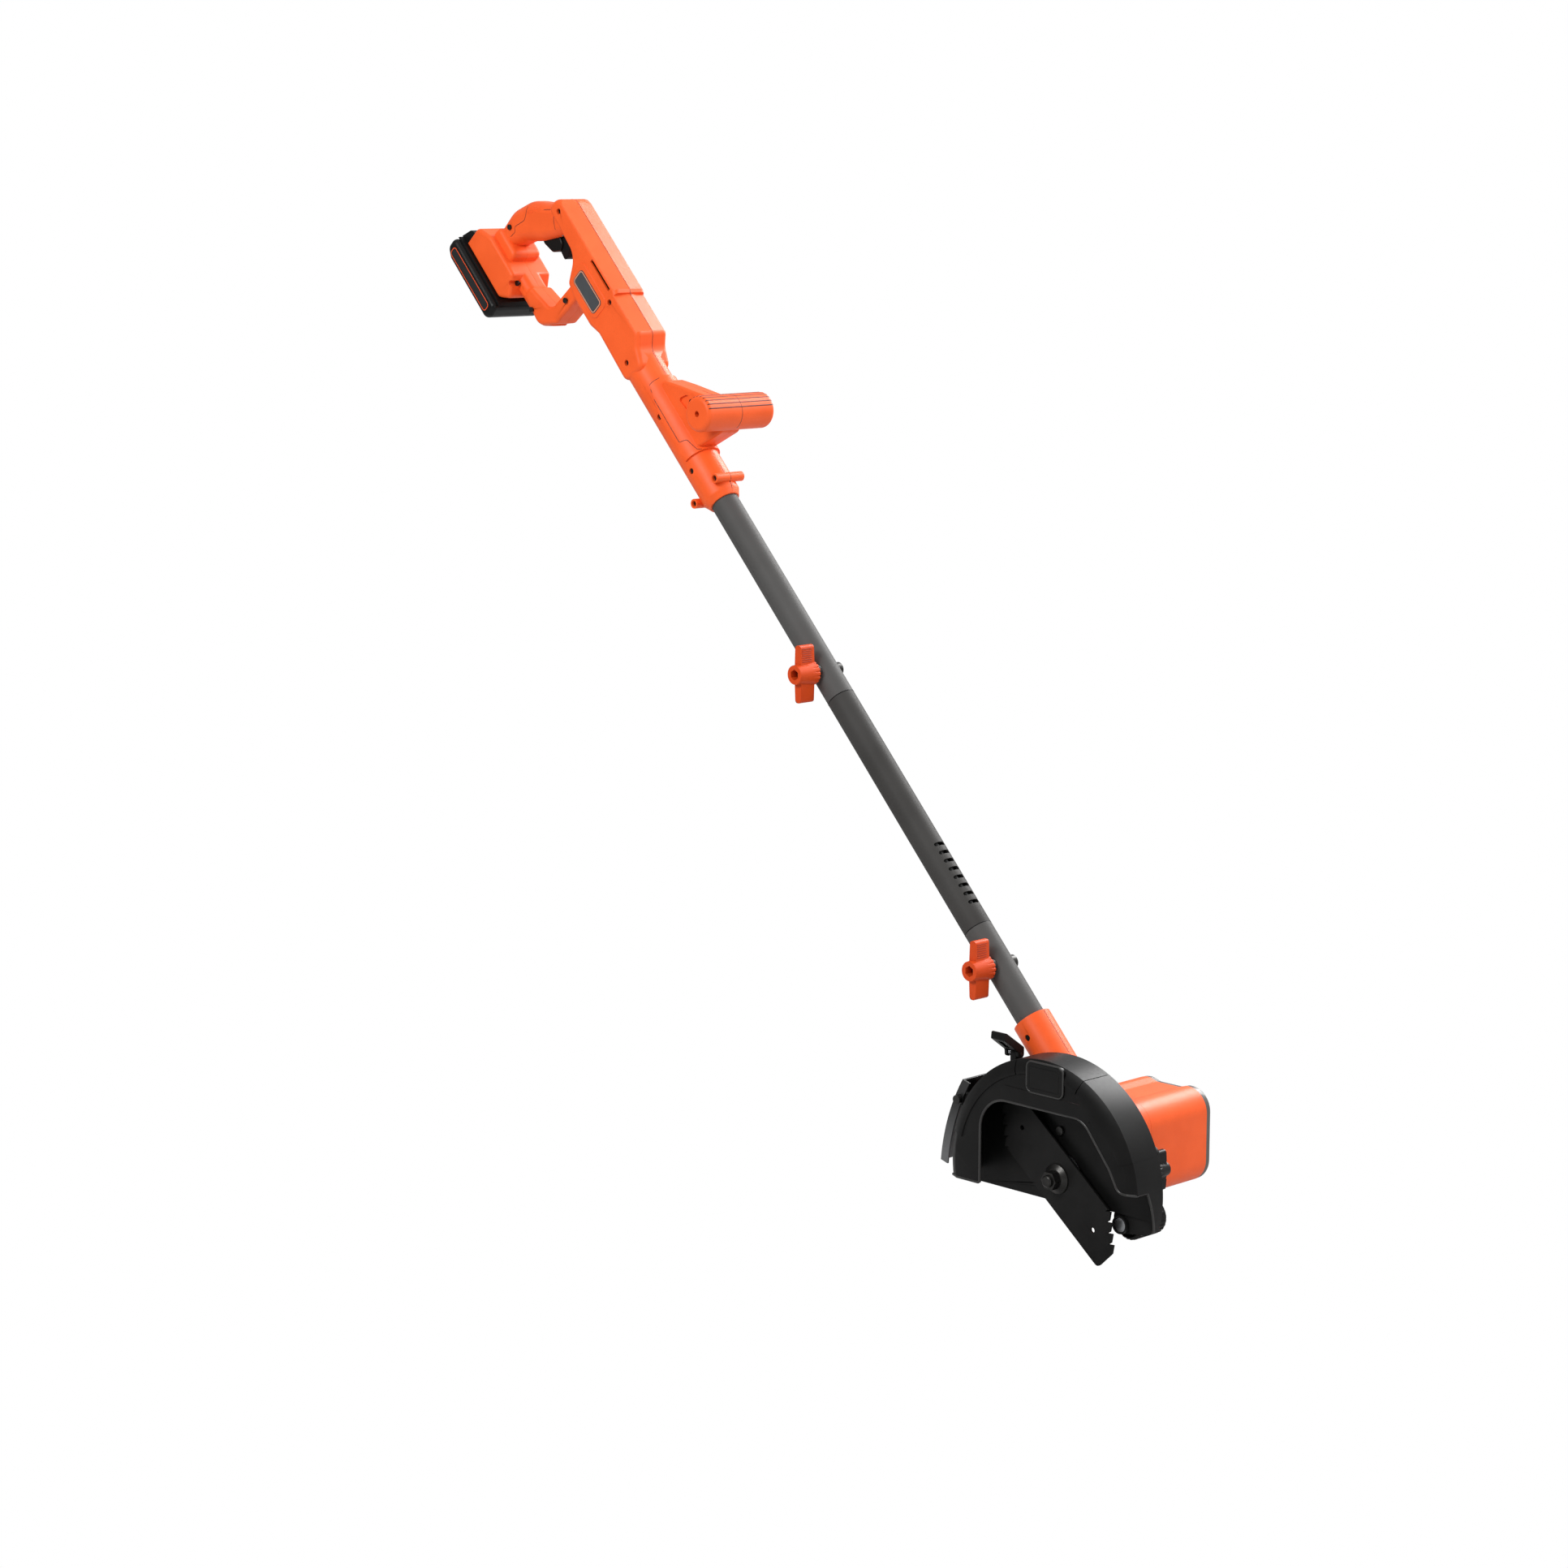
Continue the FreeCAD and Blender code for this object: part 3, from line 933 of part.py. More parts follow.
plunger.translate(Vector(-13, switch_low + 0.5, 0))
add("switch_body", join([switch, plunger]), HANDLE)
coil_places = [Vector(-21, switch_low - 0.6 - 1.05 * k, 0) for k in range(3)]
coils = [Part.makeTorus(3, 0.5, place, Vector(0, 1, 0)) for place in coil_places]
add_group("trigger_spring", coils, HANDLE)

# Electronics: board behind the vent slot, and the block of contacts that enters the pack.
board = block(18.5, 32.5, board_low, board_high, 12, board_top)
add("control_board", join([board, block(20, 30, 274, 286, 6, 12), block(20, 30, 296, 312, 4, 12)]), HANDLE)
contact_block = block(-98.4, -94.1, FOOT_LOW + 4.2, 401.8, -15.8, 15.8)
blades = [block(-99.4, -98.3, FOOT_LOW + 10, 398, z - 0.6, z + 0.6) for z in (-12, -4, 4, 12)]
add("contact_block", join([contact_block] + blades), HANDLE)

# Battery pack: slides off along the shaft, away from the head.
p_half = v.pack_width / 2
pack_low = FOOT_LOW - 12
pack_high = pack_low + v.pack_length
pack_top = FOOT_REAR - 0.4
case_floor = pack_top - v.pack_case
CASE = [(pack_top - 3, pack_low + 1, 7), (pack_top - 3, pack_high, 7), (case_floor + 6, pack_high, 9),
        (case_floor, pack_high - 12, 8), (case_floor, pack_low + 4, 8), (case_floor + 8, pack_low, 7)]
case = slab(CASE, -p_half, p_half)
case = soften(case, v.pack_round, lambda e: abs(abs(e.CenterOfMass.z) - p_half) < 0.01)
cell_row = []
for k in range(5):
    y = pack_low + 8 + v.cell_radius + k * (2 * v.cell_radius + 0.2)
    cell = rod(case_floor + 3.2 + v.cell_radius, y, v.cell_radius, -v.cell_length / 2, v.cell_length / 2)
    cell_row.append(cell)
room_half = v.cell_length / 2 + 1
lid_low = pack_top - 3
cells_room = join([block(case_floor + 2.6, lid_low - 1.4, pack_low + 6, pack_high - 3, -room_half, room_half),
                   block(lid_low - 2, pack_top + 1, pack_low + 10, pack_high - 10, -24, 24)])
add("pack_case", case.cut(cells_room), HANDLE)
neck_half = rail_neck - v.rail_gap
rail_half = rail_wide - v.rail_gap
LID = [(lid_low, pack_low + 2), (pack_top, pack_low + 5), (pack_top, pack_high - 3), (lid_low, pack_high - 1)]
lid = join([slab(LID, -p_half + 6, p_half - 6),
            block(pack_top - 1, -104 + v.rail_gap, FOOT_LOW + 8.3, FOOT_TOP - 1, -neck_half, neck_half),
            block(-105 + v.rail_gap, -99 - v.rail_gap, FOOT_LOW + 8.3, FOOT_TOP - 1, -rail_half, rail_half)])
slots = [block(-99.8, -98, FOOT_LOW, 400, z - 1.2, z + 1.2) for z in (-12, -4, 4, 12)]
for slot in slots:
    lid = lid.cut(slot)
nose = slab([(lid_low, pack_high - 1), (pack_top, pack_high - 3), (pack_top, FOOT_TOP + 1.2),
             (-94, FOOT_TOP + 1.2), (-96, FOOT_TOP + 8, 5), (lid_low, pack_high + 1)], -24, 24)
button_room = block(-102.5, -90, FOOT_TOP + 3, pack_high + 9, -12, 12)
add("pack_lid", join([lid, nose]).cut(button_room), HANDLE)
add_group("pack_cells", cell_row, HANDLE)
button = slab([(-99.9, FOOT_TOP + 3.4), (-99.9, FOOT_TOP + 6.6), (-94.4, FOOT_TOP + 5.6, 1),
               (-94.4, FOOT_TOP + 3.4, 1)], -11.6, 11.6)
add("pack_button", button, HANDLE)

# Last checks, then one STEP file per sub-part ------------------------------------------------------
doc.recompute()
faults = [item.Label for item in doc.Objects if "Invalid" in item.State or "Error" in item.State]
for node in nodes:
    if node.Shape.isNull() or not node.Shape.isValid() or not node.Shape.Solids:
        faults.append(node.Label + " shape")
if faults:
    raise RuntimeError("faulty objects: " + ", ".join(faults))
os.makedirs("parts", exist_ok=True)
for node in nodes:
    node.Shape.exportStep("parts/%s.step" % node.Label)
print(len(nodes), "sub-parts")
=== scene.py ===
import math

import bmesh
import bpy
import numpy as np
from mathutils import Matrix, Vector
from mathutils.bvhtree import BVHTree


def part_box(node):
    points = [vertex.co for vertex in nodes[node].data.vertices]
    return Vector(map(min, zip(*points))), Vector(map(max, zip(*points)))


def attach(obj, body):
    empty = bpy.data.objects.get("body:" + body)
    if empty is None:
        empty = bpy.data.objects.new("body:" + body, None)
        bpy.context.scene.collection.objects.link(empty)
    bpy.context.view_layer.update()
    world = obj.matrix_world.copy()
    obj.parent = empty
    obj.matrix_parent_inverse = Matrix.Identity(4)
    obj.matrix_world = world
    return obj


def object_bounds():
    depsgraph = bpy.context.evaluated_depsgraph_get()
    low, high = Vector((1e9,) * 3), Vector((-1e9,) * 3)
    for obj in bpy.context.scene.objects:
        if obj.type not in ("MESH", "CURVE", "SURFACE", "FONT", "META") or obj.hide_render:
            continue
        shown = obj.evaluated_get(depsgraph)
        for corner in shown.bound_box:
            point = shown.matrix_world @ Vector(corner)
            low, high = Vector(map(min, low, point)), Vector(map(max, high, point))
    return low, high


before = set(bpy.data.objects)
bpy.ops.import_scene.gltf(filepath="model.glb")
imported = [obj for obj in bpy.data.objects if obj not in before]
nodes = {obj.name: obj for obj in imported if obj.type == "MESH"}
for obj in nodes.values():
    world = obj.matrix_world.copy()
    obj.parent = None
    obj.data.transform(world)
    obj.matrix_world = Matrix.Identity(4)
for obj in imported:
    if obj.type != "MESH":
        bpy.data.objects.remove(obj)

cad_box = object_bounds()

# Shaft tubes: three drawn steel tubes that slide into each other, with a dark satin coating baked on.
# Slots near the middle tube's lower end give the length, and a wing knob clamps each joint.
lean = math.radians(47.5)
up_shaft = np.array([-math.cos(lean), 0.0, math.sin(lean)])
out_front = np.array([math.sin(lean), 0.0, math.cos(lean)])
to_blade = np.array([0.0, -1.0, 0.0])
neck_reach, shaft_beside_blade = 0.045, 0.036
shaft_foot = out_front * neck_reach + np.array([0.0, shaft_beside_blade, 0.0])


def on_shaft(forward, along, side):
    """Points forward out of the shaft's front, up along its axis, and sideways towards the blade."""
    forward, along, side = np.broadcast_arrays(forward, along, side)
    return (shaft_foot + forward[..., None] * out_front + along[..., None] * up_shaft
            + side[..., None] * to_blade)


def new_material(name):
    """Empty node material and short ways to add and join its nodes."""
    material = bpy.data.materials.new(name)
    material.use_nodes = True
    tree = material.node_tree
    shader = tree.nodes["Principled BSDF"]

    def node(kind, **settings):
        made = tree.nodes.new("ShaderNode" + kind)
        for key, value in settings.items():
            if key in made.inputs:
                made.inputs[key].default_value = value
            else:
                setattr(made, key, value)
        return made

    return material, shader, node, tree.links.new


def speckle(node, link, place, size, detail=2.0):
    """Noise whose patches are about size metres across."""
    mapping = node("Mapping", Scale=(1.0 / size,) * 3)
    link(place, mapping.inputs["Vector"])
    noise = node("TexNoise", Scale=1.0, Detail=detail)
    link(mapping.outputs["Vector"], noise.inputs["Vector"])
    return noise.outputs["Fac"]


def ramp(node, link, source, low, high, start=0.35, stop=0.65):
    """Colour from low to high as the source goes from start to stop."""
    made = node("ValToRGB")
    made.color_ramp.elements[0].position = start
    made.color_ramp.elements[1].position = stop
    made.color_ramp.elements[0].color = tuple(low) + (1.0,)
    made.color_ramp.elements[1].color = tuple(high) + (1.0,)
    link(source, made.inputs["Fac"])
    return made.outputs["Color"]


def span(node, link, source, low, high, start=0.0, stop=1.0):
    """The source's start to stop carried to low to high, and held beyond them."""
    made = node("MapRange")
    for key, value in (("From Min", start), ("From Max", stop), ("To Min", low), ("To Max", high)):
        made.inputs[key].default_value = value
    link(source, made.inputs["Value"])
    return made.outputs["Result"]


def metal(name, dark, light, rough, metallic=1.0, grain=0.0004, height=0.00001, gloss=0.5):
    """Metal or its coating: a slow drift of tone, and a fine grain in sheen and height."""
    material, shader, node, link = new_material(name)
    place = node("TexCoord").outputs["Object"]
    drift = speckle(node, link, place, grain * 40, 3.0)
    link(ramp(node, link, drift, dark, light), shader.inputs["Base Color"])
    fine = speckle(node, link, place, grain)
    link(span(node, link, fine, rough - 0.06, rough + 0.08), shader.inputs["Roughness"])
    shader.inputs["Metallic"].default_value = metallic
    shader.inputs["Specular IOR Level"].default_value = gloss
    bump = node("Bump", Strength=0.5, Distance=height)
    link(fine, bump.inputs["Height"])
    link(bump.outputs["Normal"], shader.inputs["Normal"])
    return material


sharp_angle = math.radians(35.0)


def crisp(name, material, width=0.0003):
    """Puts the finish on a CAD node, closes its loose triangles and breaks its sharp edges."""
    piece = nodes[name]
    piece.data.materials.clear()
    piece.data.materials.append(material)
    piece.data.polygons.foreach_set("use_smooth", np.ones(len(piece.data.polygons), bool))
    weld = piece.modifiers.new("closed", "WELD")
    weld.merge_threshold = 0.00001
    if width:
        bevel = piece.modifiers.new("broken edges", "BEVEL")
        bevel.width = width
        bevel.segments = 2
        bevel.limit_method = "ANGLE"
        bevel.angle_limit = sharp_angle
        bevel.use_clamp_overlap = False
        bevel.harden_normals = False
    split = piece.modifiers.new("crease", "EDGE_SPLIT")
    split.split_angle = sharp_angle
    split.use_edge_sharp = False
    flats = piece.modifiers.new("flat faces stay flat", "WEIGHTED_NORMAL")
    flats.mode = "FACE_AREA"
    flats.weight = 100
    flats.keep_sharp = False
    return piece


tube_coat = metal("tube_coating", (0.076, 0.074, 0.072), (0.088, 0.086, 0.084), 0.56, 0.0, 0.0016, 0.0000003,
                  gloss=0.12)
middle_coat = metal("middle_tube_coating", (0.046, 0.044, 0.042), (0.055, 0.053, 0.051), 0.56, 0.0, 0.0016, 0.0000003,
                    gloss=0.10)
crisp("lower_tube", tube_coat, 0.0002)
crisp("middle_tube", middle_coat, 0.0002)
crisp("upper_tube", tube_coat, 0.0002)


def surface(name, grid, material, body, join_rows=False, join_columns=False):
    """Mesh of a grid of points: rows and columns of quads, joined round where asked, poles and ends closed."""
    rows, columns = grid.shape[:2]
    index = np.arange(rows * columns).reshape(rows, columns)
    if join_columns:
        index = np.concatenate([index, index[:, :1]], 1)
    if join_rows:
        index = np.concatenate([index, index[:1]], 0)
    faces = np.stack([index[:-1, :-1], index[:-1, 1:], index[1:, 1:], index[1:, :-1]], -1).reshape(-1, 4)
    mesh = bpy.data.meshes.new(name)
    mesh.from_pydata(grid.reshape(-1, 3).tolist(), [], faces.tolist())
    shape = bmesh.new()
    shape.from_mesh(mesh)
    bmesh.ops.remove_doubles(shape, verts=shape.verts, dist=1e-6)
    bmesh.ops.dissolve_degenerate(shape, edges=shape.edges, dist=1e-7)
    open_edges = [edge for edge in shape.edges if edge.is_boundary]
    if open_edges:
        bmesh.ops.holes_fill(shape, edges=open_edges, sides=0)
    bmesh.ops.recalc_face_normals(shape, faces=shape.faces)
    shape.to_mesh(mesh)
    shape.free()
    mesh.polygons.foreach_set("use_smooth", np.ones(len(mesh.polygons), bool))
    mesh.materials.append(material)
    piece = bpy.data.objects.new(name, mesh)
    bpy.context.scene.collection.objects.link(piece)
    crease = piece.modifiers.new("crease", "EDGE_SPLIT")
    crease.split_angle = math.radians(40.0)
    crease.use_edge_sharp = False
    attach(piece, body)
    return piece


def eased(corners, radii, closed=False, steps=8):
    """Straight runs between corners, each corner an arc of its radius that leaves both runs smoothly."""
    corners = np.asarray(corners, float)
    line = []
    for k, radius in enumerate(radii):
        corner = corners[k]
        if radius == 0 or (not closed and k in (0, len(radii) - 1)):
            line.append(corner[None])
            continue
        back, ahead = corners[k - 1] - corner, corners[(k + 1) % len(radii)] - corner
        back, ahead = back / np.linalg.norm(back), ahead / np.linalg.norm(ahead)
        half = math.acos(np.clip(back @ ahead, -1.0, 1.0)) / 2
        middle = (back + ahead) / np.linalg.norm(back + ahead)
        centre = corner + middle * radius / math.sin(half)
        first = corner + back * radius / math.tan(half) - centre
        last = corner + ahead * radius / math.tan(half) - centre
        turn = math.pi - 2 * half
        t = np.linspace(0.0, 1.0, steps)[:, None]
        line.append(centre + (np.sin((1 - t) * turn) * first + np.sin(t * turn) * last) / math.sin(turn))
    return np.concatenate(line)


def bead(name, path, material, body, half_width, half_height=None, up=None, closed=False, sides=10):
    """Bead along a path: an ellipse stands across the path at each point, its height along up, and at
    an open end it shrinks to a point as a quarter circle does."""
    path = np.asarray(path, float)
    half_height = half_width if half_height is None else half_height
    if closed:
        tangent = np.roll(path, -1, 0) - np.roll(path, 1, 0)
    else:
        tangent = np.gradient(path, axis=0)
    tangent /= np.linalg.norm(tangent, axis=1)[:, None]
    scale = np.ones(len(path))
    if not closed:
        swing = np.radians([0.0, 22.0, 45.0, 67.0])
        lead_in = path[0] - tangent[0] * half_height * np.cos(swing)[:, None]
        lead_out = path[-1] + tangent[-1] * half_height * np.cos(swing)[::-1, None]
        path = np.concatenate([lead_in, path, lead_out])
        more = len(swing)
        scale = np.concatenate([np.sin(swing), scale, np.sin(swing)[::-1]])
        tangent = np.concatenate([np.repeat(tangent[:1], more, 0), tangent, np.repeat(tangent[-1:], more, 0)])
        if up is not None and np.ndim(up) == 2:
            up = np.concatenate([np.repeat(up[:1], more, 0), up, np.repeat(up[-1:], more, 0)])
    if up is None:
        start = np.cross(tangent[0], [0.3, 0.5, 0.8])
        ups = []
        for direction in tangent:
            start = start - (start @ direction) * direction
            start /= np.linalg.norm(start)
            ups.append(start)
        up = np.array(ups)
    up = np.broadcast_to(up, path.shape)
    across = np.cross(tangent, up)
    across /= np.linalg.norm(across, axis=1)[:, None]
    up = np.cross(across, tangent)
    turn = np.linspace(0.0, 2 * math.pi, sides, endpoint=False)
    grid = path[:, None] + scale[:, None, None] * (
        half_width * np.cos(turn)[None, :, None] * across[:, None]
        + half_height * np.sin(turn)[None, :, None] * up[:, None])
    return surface(name, grid, material, body, join_rows=closed, join_columns=True)


# Tube ends: a black nylon bush is pressed over each end of the middle tube, so that the tubes slide
# without rattling. It shows as a thin ring at the joint.
bush_black = metal("bush_black", (0.004, 0.004, 0.004), (0.007, 0.007, 0.007), 0.5, 0.0, gloss=0.2)
ring_radius = 0.0149
for name, along in (("lower_bush_ring", 0.2604), ("upper_bush_ring", 0.5496)):
    turn = np.linspace(0.0, 2 * math.pi, 64, endpoint=False)[:, None]
    outwards = np.cos(turn) * out_front + np.sin(turn) * to_blade
    ring = on_shaft(0.0, along, 0.0) + ring_radius * outwards
    bead(name, ring, bush_black, "middle", 0.0006, 0.0003, outwards, closed=True, sides=8)

# Moulded housings: the handle and the motor's housing are glass-filled nylon, dyed through, in two
# halves screwed together. Their sides are smooth with a fine spark grain, and their front is coarser.
collar_height = 0.808


def on_handle(forward, along, side):
    """Points as on the shaft, measured along it from the handle's collar."""
    return on_shaft(forward, np.asarray(along) + collar_height, side)


def rounded_outline(node, link, place, centre, right, above, half, corner, lift=None):
    """Distance outside a rounded rectangle: how far a point is past its corner circles' centres along
    right and above, taken together, less the corner's radius. Far off its plane it is large."""
    apart = node("VectorMath", operation="SUBTRACT")
    link(place, apart.inputs[0])
    apart.inputs[1].default_value = tuple(centre)
    joined = node("CombineXYZ")
    for axis, reach, slot in ((right, half[0] - corner, "X"), (above, half[1] - corner, "Y")):
        along = node("VectorMath", operation="DOT_PRODUCT")
        link(apart.outputs["Vector"], along.inputs[0])
        along.inputs[1].default_value = tuple(axis)
        size = node("Math", operation="ABSOLUTE")
        link(along.outputs["Value"], size.inputs[0])
        past = node("Math", operation="SUBTRACT")
        link(size.outputs["Value"], past.inputs[0])
        past.inputs[1].default_value = reach
        kept = node("Math", operation="MAXIMUM")
        link(past.outputs["Value"], kept.inputs[0])
        kept.inputs[1].default_value = 0.0
        link(kept.outputs["Value"], joined.inputs[slot])
    if lift is not None:
        depth = node("VectorMath", operation="DOT_PRODUCT")
        link(apart.outputs["Vector"], depth.inputs[0])
        depth.inputs[1].default_value = tuple(np.cross(right, above))
        off = node("Math", operation="ABSOLUTE")
        link(depth.outputs["Value"], off.inputs[0])
        far = span(node, link, off.outputs["Value"], 0.0, 1.0, lift, lift * 1.2)
        link(far, joined.inputs["Z"])
    length = node("VectorMath", operation="LENGTH")
    link(joined.outputs["Vector"], length.inputs[0])
    distance = node("Math", operation="SUBTRACT")
    link(length.outputs["Value"], distance.inputs[0])
    distance.inputs[1].default_value = corner
    return distance.outputs["Value"]


def stripe(node, link, distance, at, width):
    """1 on a line of a width that follows an outline at a distance from it, and 0 beside it."""
    apart = node("Math", operation="SUBTRACT")
    link(distance, apart.inputs[0])
    apart.inputs[1].default_value = at
    size = node("Math", operation="ABSOLUTE")
    link(apart.outputs["Value"], size.inputs[0])
    return span(node, link, size.outputs["Value"], 1.0, 0.0, width * 0.42, width * 0.58)


cloud_size = 0.03


def moulded(name, dark, light, rough, grain=0.0006, height=0.00006, front_height=0.0, gloss=0.5,
            outlines=()):
    """Moulded plastic: a spark grain, a slow drift of tone and sheen, a coarser grain on its front, and
    outlines printed or pressed into it. Each outline is (rounded rectangle, distance, width, colour,
    depth), and a width of None fills what is inside that distance."""
    material, shader, node, link = new_material(name)
    place = node("TexCoord").outputs["Object"]
    tone = ramp(node, link, speckle(node, link, place, cloud_size, 4.0), dark, light)
    fine = speckle(node, link, place, grain)
    fleck = ramp(node, link, fine, [0.86] * 3, [1.0] * 3, 0.3, 0.6)
    mixed = node("Mix", data_type="RGBA", blend_type="MULTIPLY")
    mixed.inputs["Factor"].default_value = 0.5
    link(tone, mixed.inputs["A"])
    link(fleck, mixed.inputs["B"])
    colour = mixed.outputs["Result"]
    bump = node("Bump", Strength=0.6, Distance=height)
    if front_height:
        facing = node("VectorMath", operation="DOT_PRODUCT")
        link(node("NewGeometry").outputs["Normal"], facing.inputs[0])
        facing.inputs[1].default_value = tuple(out_front)
        link(span(node, link, facing.outputs["Value"], height, front_height, 0.75, 0.9), bump.inputs["Distance"])
    link(fine, bump.inputs["Height"])
    normal = bump.outputs["Normal"]
    for shape, at, width, print_and_shade_colour, depth in outlines:
        distance = rounded_outline(node, link, place, *shape)
        if width is None:
            mask = span(node, link, distance, 1.0, 0.0, at - 0.00008, at + 0.00008)
        else:
            mask = stripe(node, link, distance, at, width)
        # An outline's colour is print on some outlines and painted shade in pressed grooves on others.
        if print_and_shade_colour is not None:
            over = node("Mix", data_type="RGBA")
            link(mask, over.inputs["Factor"])
            link(colour, over.inputs["A"])
            over.inputs["B"].default_value = tuple(print_and_shade_colour) + (1.0,)
            colour = over.outputs["Result"]
        if depth:
            press = node("Bump", Strength=1.0, Distance=abs(depth), invert=depth < 0)
            link(mask, press.inputs["Height"])
            link(normal, press.inputs["Normal"])
            normal = press.outputs["Normal"]
    link(colour, shader.inputs["Base Color"])
    link(span(node, link, speckle(node, link, place, grain * 6), rough - 0.07, rough + 0.07),
         shader.inputs["Roughness"])
    shader.inputs["Specular IOR Level"].default_value = gloss
    link(normal, shader.inputs["Normal"])
    return material


orange_dark, orange_light = (0.88, 0.107, 0.017), (0.94, 0.120, 0.021)
orange = moulded("orange_nylon", orange_dark, orange_light, 0.44, 0.0008, 0.00003, 0.00009, 0.27)
for name in ("handle_left", "handle_right", "assist_left", "assist_right",
             "motor_housing_left", "motor_housing_right"):
    crisp(name, orange)
# A much darker copy of the orange nylon: painted shade, laid as thin beads in the joints between housing halves and in
# the assist handle's grooves.
seam_shade = moulded("seam_and_groove_shade", (0.11, 0.014, 0.005), (0.14, 0.018, 0.006), 0.6, 0.0006, 0.00003)


def laid(targets, starts, towards, sink=0.0):
    """Where points dropped from their starts, each in its own direction or all in one, meet the housing,
    and which way its surface faces there."""
    points, normals = [], []
    trees = [BVHTree.FromPolygons([v.co for v in nodes[name].data.vertices],
                                  [p.vertices for p in nodes[name].data.polygons]) for name in targets]
    for start, direction in zip(starts, np.broadcast_to(towards, np.shape(starts))):
        hits = [tree.ray_cast(Vector(start), Vector(direction)) for tree in trees]
        hits = [hit for hit in hits if hit[0] is not None]
        if hits:
            place, normal = min(hits, key=lambda hit: hit[3])[:2]
            points.append(np.array(place) - sink * np.array(normal))
            normals.append(np.array(normal))
    return np.array(points), np.array(normals)


def finely(corners, radii, pitch=0.0008):
    """The same soft-cornered line, cut into steps of about one pitch."""
    line = eased(corners, radii)
    run = np.concatenate([[0.0], np.cumsum(np.linalg.norm(np.diff(line, axis=0), axis=1))])
    at = np.linspace(0.0, run[-1], max(int(run[-1] / pitch), 3))
    return np.stack([np.interp(at, run, line[:, k]) for k in range(2)], 1)


def seam_line(name, targets, starts, towards, body):
    """Thin dark bead, 0.9 mm wide, that lies along the line where points dropped on the housings land."""
    points, normals = laid(targets, starts, towards, 0.0001)
    bead(name, points, seam_shade, body, 0.00045, 0.00025, normals, sides=8)


# Lines in the handle's shell: the joint between its halves along the front, the edge of the softer inlay
# in the grip, the joint round the assist handle's foot, and the thumb ribs near the grip's top.
beside_joint = 0.00004
for name, first, last in (("front_joint_low", 0.004, 0.034), ("front_joint_high", 0.158, 0.420)):
    at = np.linspace(first, last, int((last - first) / 0.0012))
    seam_line(name, ["handle_left", "handle_right"], on_handle(0.12, at, beside_joint), -out_front, "handle")
grip_lines = (
    ("grip_inlay_rear", [(-0.0565, 0.4219), (-0.0467, 0.4204), (-0.0447, 0.4255), (-0.0268, 0.4191),
                         (-0.0206, 0.4220), (-0.0138, 0.4275)], (0, 0.003, 0.003, 0.006, 0.008, 0)),
    ("grip_inlay_front", [(0.0049, 0.4061), (0.0152, 0.3976), (0.0113, 0.3884), (0.0050, 0.3775)],
     (0, 0.004, 0.01, 0)),
    ("assist_joint", [(0.0205, 0.1545), (0.0120, 0.1536), (0.0078, 0.1480), (0.0075, 0.0772), (0.0150, 0.0745),
                      (0.0180, 0.0590), (0.0206, 0.0570)], (0, 0.006, 0.004, 0.002, 0.002, 0.002, 0)),
)
for name, corners, radii in grip_lines:
    line = finely(corners, radii)
    seam_line(name, ["handle_left", "assist_left"], on_handle(line[:, 0], line[:, 1], 0.09), -to_blade, "handle")
for k in range(6):
    top = (-0.0107 + 0.0025 * k, 0.4246 - 0.0017 * k)
    foot = (top[0] - 0.0085, top[1] - 0.0028)
    line = finely([top, foot], (0, 0))
    points, normals = laid(["handle_left"], on_handle(line[:, 0], line[:, 1], 0.09), -to_blade, 0.0002)
    bead("thumb_rib_%d" % k, points, orange, "handle", 0.0007, 0.0006, normals)

# Assist handle: a bar across the shaft for the front hand, moulded in orange nylon in two halves that
# are screwed to the handle. Grooves along its top give grip; they are drawn as thin dark beads of painted shade.
assist_centre = on_handle(0.071, 0.065, 0.0)


def round_the_bar(turn):
    """Direction out of the bar at a turn from the shaft's front towards the shaft's top."""
    return np.cos(turn)[:, None] * out_front + np.sin(turn)[:, None] * up_shaft


across_bar = np.linspace(0.0458, -0.0458, 60)
# Each groove is a dark bead laid on the bar's surface: painted shade where the groove would be.
for k, turn in enumerate(np.radians(np.linspace(-22.0, 84.0, 8))):
    outwards = round_the_bar(np.full(60, turn))
    starts = assist_centre + 0.05 * outwards + across_bar[:, None] * to_blade
    points, normals = laid(["assist_left", "assist_right"], starts, -outwards, 0.0001)
    bead("assist_groove_shade_%d" % k, points, seam_shade, "handle", 0.0008, 0.0004, normals, sides=8)
outwards = round_the_bar(np.radians(np.linspace(-100.0, 130.0, 90)))
seam_line("assist_joint_ring", ["assist_left", "assist_right"],
          assist_centre + 0.05 * outwards + beside_joint * to_blade, -outwards, "handle")
at = np.linspace(0.100, 0.150, 40)
seam_line("neck_joint", ["motor_housing_left", "motor_housing_right"], on_shaft(0.12, at, beside_joint), -out_front,
          "head")

# Black mouldings: guard, lever, wheel, depth knob and battery case. The same nylon, dyed black, with a
# dull grain that catches a soft grey light on its rims.
black_dark, black_light = (0.0042, 0.0041, 0.0040), (0.0065, 0.0063, 0.0061)
black = moulded("black_nylon", black_dark, black_light, 0.40, 0.0005, 0.00003, 0.0, 0.16)
for name in ("guard", "release_lever", "wheel", "depth_knob", "trigger", "lock_off", "switch_body",
             "contact_block", "motor_fan"):
    crisp(name, black)

